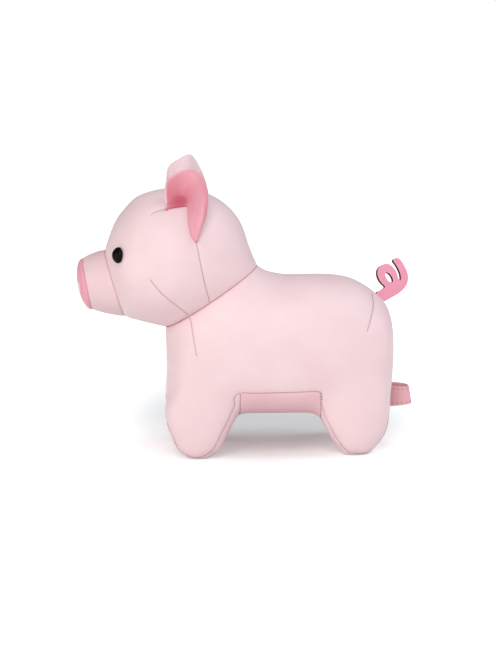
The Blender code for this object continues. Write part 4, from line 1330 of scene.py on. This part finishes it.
# Edge rounding and stitch lines, as shares of the strap's width, and its stitches
TAG_EDGE, TAG_STITCH_LINES, TAG_STITCH_REACH = 0.03, (0.14, 0.86), 0.93
TAG_THREAD_RADIUS, TAG_STITCH, TAG_STITCH_GAP = 0.14 * MM, 0.7 * MM, 1.5 * MM


def tag_point(share, height, offset):
    """A point of the strap: share runs round the fold, height up its width, offset outwards."""
    def across(at):
        arch = max(sin(pi * abs(at)), 0) ** TAG_BULGE_POWER
        wide = TAG_BULGE * arch + (TAG_ROOT_HALF_GAP + TAG_STRAP / 2) * abs(at)
        return wide * (1 if at > 0 else -1)
    along = 1 - share * share
    step = 0.004
    reach_x = TAG_END_X - TAG_ROOT_X
    slope = np.array([(1 - (share + step) ** 2 - 1 + (share - step) ** 2) * reach_x,
                      across(min(share + step, 1)) - across(max(share - step, -1))])
    slope /= np.linalg.norm(slope)
    start = TAG_ROOT_X - TAG_ROOT_SLANT * (1 - height)
    reach = TAG_END_X - TAG_STRAP / 2 - TAG_FOLD_SLANT * height - start
    x = start + along * reach + slope[1] * offset
    y = across(share) - slope[0] * offset
    low = TAG_BOTTOM_Z + TAG_END_DROP * along
    high = TAG_TOP_Z - TAG_END_DROP * along
    return np.array([x, y, low + (high - low) * height + TAG_SKEW * share])


def make_tag(looks):
    half = TAG_STRAP / 2
    profile = [(height, half) for height in np.linspace(TAG_EDGE, 1 - TAG_EDGE, 16)]
    profile += [(1 - TAG_EDGE + TAG_EDGE * sin(angle), half * cos(angle))
                for angle in np.linspace(0, pi, 7)[1:-1]]
    profile += [(1 - height, -offset) for height, offset in profile]
    rings = [[tag_point(share, height, offset) for height, offset in profile]
             for share in np.sin(np.linspace(-pi / 2, pi / 2, 70))]
    item = mesh_object("strap_loop_tag", *closed_loft(np.array(rings)), looks["tag"])
    fix_normals(item)
    item.data.set_sharp_from_angle(angle=radians(60))
    dress(item, "loop_tag", "tag")
    shares = np.linspace(-TAG_STITCH_REACH, TAG_STITCH_REACH, 90)
    lines = [np.array([tag_point(share, height, half) for share in shares])
             for height in TAG_STITCH_LINES]
    sewn = stitches("stitches_tag", lines, object_tree(item), looks["tag_thread"], both=False,
                    radius=TAG_THREAD_RADIUS, length=TAG_STITCH, gap=TAG_STITCH_GAP)
    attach(sewn, "tag")


# ---- stage, light and camera

# Glow of the floor as it is seen: low under the toy, which paints a shadow there, high away from
# it, and where it changes over
FLOOR_SHADOW_GLOW, FLOOR_FAR_GLOW = 0.12, 0.90
FLOOR_GLOW_START, FLOOR_GLOW_END = 0.035, 0.115
FLOOR_GLOW_SHIFT, FLOOR_GLOW_SCALE = (-0.012, -0.040, 0), (1.0, 0.45, 1.0)
FLOOR_REACH, FLOOR_Z, FLOOR_GREY = 6.0, -0.00005, 0.85
WORLD_LIGHT = 0.36
WHITE = (1, 1, 1, 1)
# Lamps: name, place, size, power, colour
LAMPS = (
    ("key", (-0.20, -1.08, 0.74), (0.45, 1.10), 6.7, (1.0, 0.985, 0.965)),
    ("strip", (0.20, -1.30, 0.28), (0.06, 1.10), 1.6, (1.0, 0.99, 0.97)),
    ("left", (-1.10, -0.55, 0.20), (0.70, 0.70), 3.8, (1.0, 0.98, 0.95)),
    ("right", (0.80, -0.05, 0.90), (0.70, 0.70), 4.6, (0.82, 0.91, 1.0)),
)
LAMP_AIM = Vector((0, 0, 0.06))


def make_stage():
    far = FLOOR_REACH
    mesh = bpy.data.meshes.new("floor")
    mesh.from_pydata([(-far, -far, 0), (far, -far, 0), (far, far, 0), (-far, far, 0)], [],
                     [(0, 1, 2, 3)])
    floor = add_object("floor", mesh)
    floor.location.z = FLOOR_Z
    item = Shader("floor_white_painted_shadow")
    seen = item.rays("Is Camera Ray", "Is Glossy Ray", "Is Transmission Ray")
    flatter = item.node("ShaderNodeMapping", {
        "Vector": item.place, "Location": FLOOR_GLOW_SHIFT, "Scale": FLOOR_GLOW_SCALE})
    away = item.node("ShaderNodeVectorMath", {0: flatter.outputs["Vector"]}, operation="LENGTH")
    # Less glow near the toy paints a shadow on the floor under it
    level = item.span(away.outputs["Value"], FLOOR_SHADOW_GLOW, FLOOR_FAR_GLOW, FLOOR_GLOW_START,
                      FLOOR_GLOW_END)
    glow = item.node("ShaderNodeEmission", {
        "Color": WHITE, "Strength": item.math("MULTIPLY", seen, level)})
    diffuse = item.node("ShaderNodeBsdfDiffuse", {"Color": (*[FLOOR_GREY] * 3, 1)})
    both = item.node("ShaderNodeAddShader", {0: diffuse.outputs[0], 1: glow.outputs[0]})
    item.tree.nodes.remove(item.surface)
    item.put(item.output.inputs["Surface"], both.outputs[0])
    mesh.materials.append(item.material)


def make_world():
    world = bpy.data.worlds.new("studio")
    bpy.context.scene.world = world
    world.use_nodes = True
    nodes = Nodes(world.node_tree)
    seen = nodes.rays("Is Camera Ray", "Is Transmission Ray")
    back = world.node_tree.nodes["Background"]
    nodes.put(back.inputs["Strength"], nodes.span(seen, WORLD_LIGHT, 1.0))
    nodes.put(back.inputs["Color"], WHITE)


def make_lamps():
    for name, place, size, power, colour in LAMPS:
        data = bpy.data.lights.new(name, "AREA")
        data.shape = "RECTANGLE"
        data.size, data.size_y = size
        data.energy = power
        data.color = colour
        lamp = add_object(name, data)
        lamp.location = place
        lamp.rotation_mode = "QUATERNION"
        lamp.rotation_quaternion = (LAMP_AIM - Vector(place)).to_track_quat("-Z", "Y")


def make_camera():
    data = bpy.data.cameras.new("camera")
    camera = add_object("camera", data)
    bpy.context.scene.camera = camera
    back = Vector((sin(AZIMUTH) * cos(ELEVATION), -cos(AZIMUTH) * cos(ELEVATION), sin(ELEVATION)))
    camera.matrix_world = (Matrix.Translation(Vector(TARGET) + back * DISTANCE)
                           @ back.to_track_quat("Z", "Y").to_matrix().to_4x4()
                           @ Matrix.Rotation(ROLL, 4, "Z"))
    data.sensor_fit = "VERTICAL"
    data.sensor_height = 36.0
    data.lens = LENS
    data.clip_start, data.clip_end = 0.01, 20.0


def dress_nodes(looks):
    """Finishes for the CAD nodes that stay."""
    for name in ("eye_washer_left", "eye_washer_right"):
        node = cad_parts[name]
        for slot in node.material_slots:
            slot.material = looks["washer"]


def main():
    make_camera()
    make_world()
    make_lamps()
    make_stage()
    looks = make_materials()
    make_body(looks)
    make_body_filling(looks)
    tree = make_head(looks)
    make_muzzle(looks)
    make_eyes(looks, tree)
    make_ears(looks, tree)
    make_tail(looks)
    make_tag(looks)
    dress_nodes(looks)
    bpy.context.scene.view_settings.view_transform = "Standard"


main()
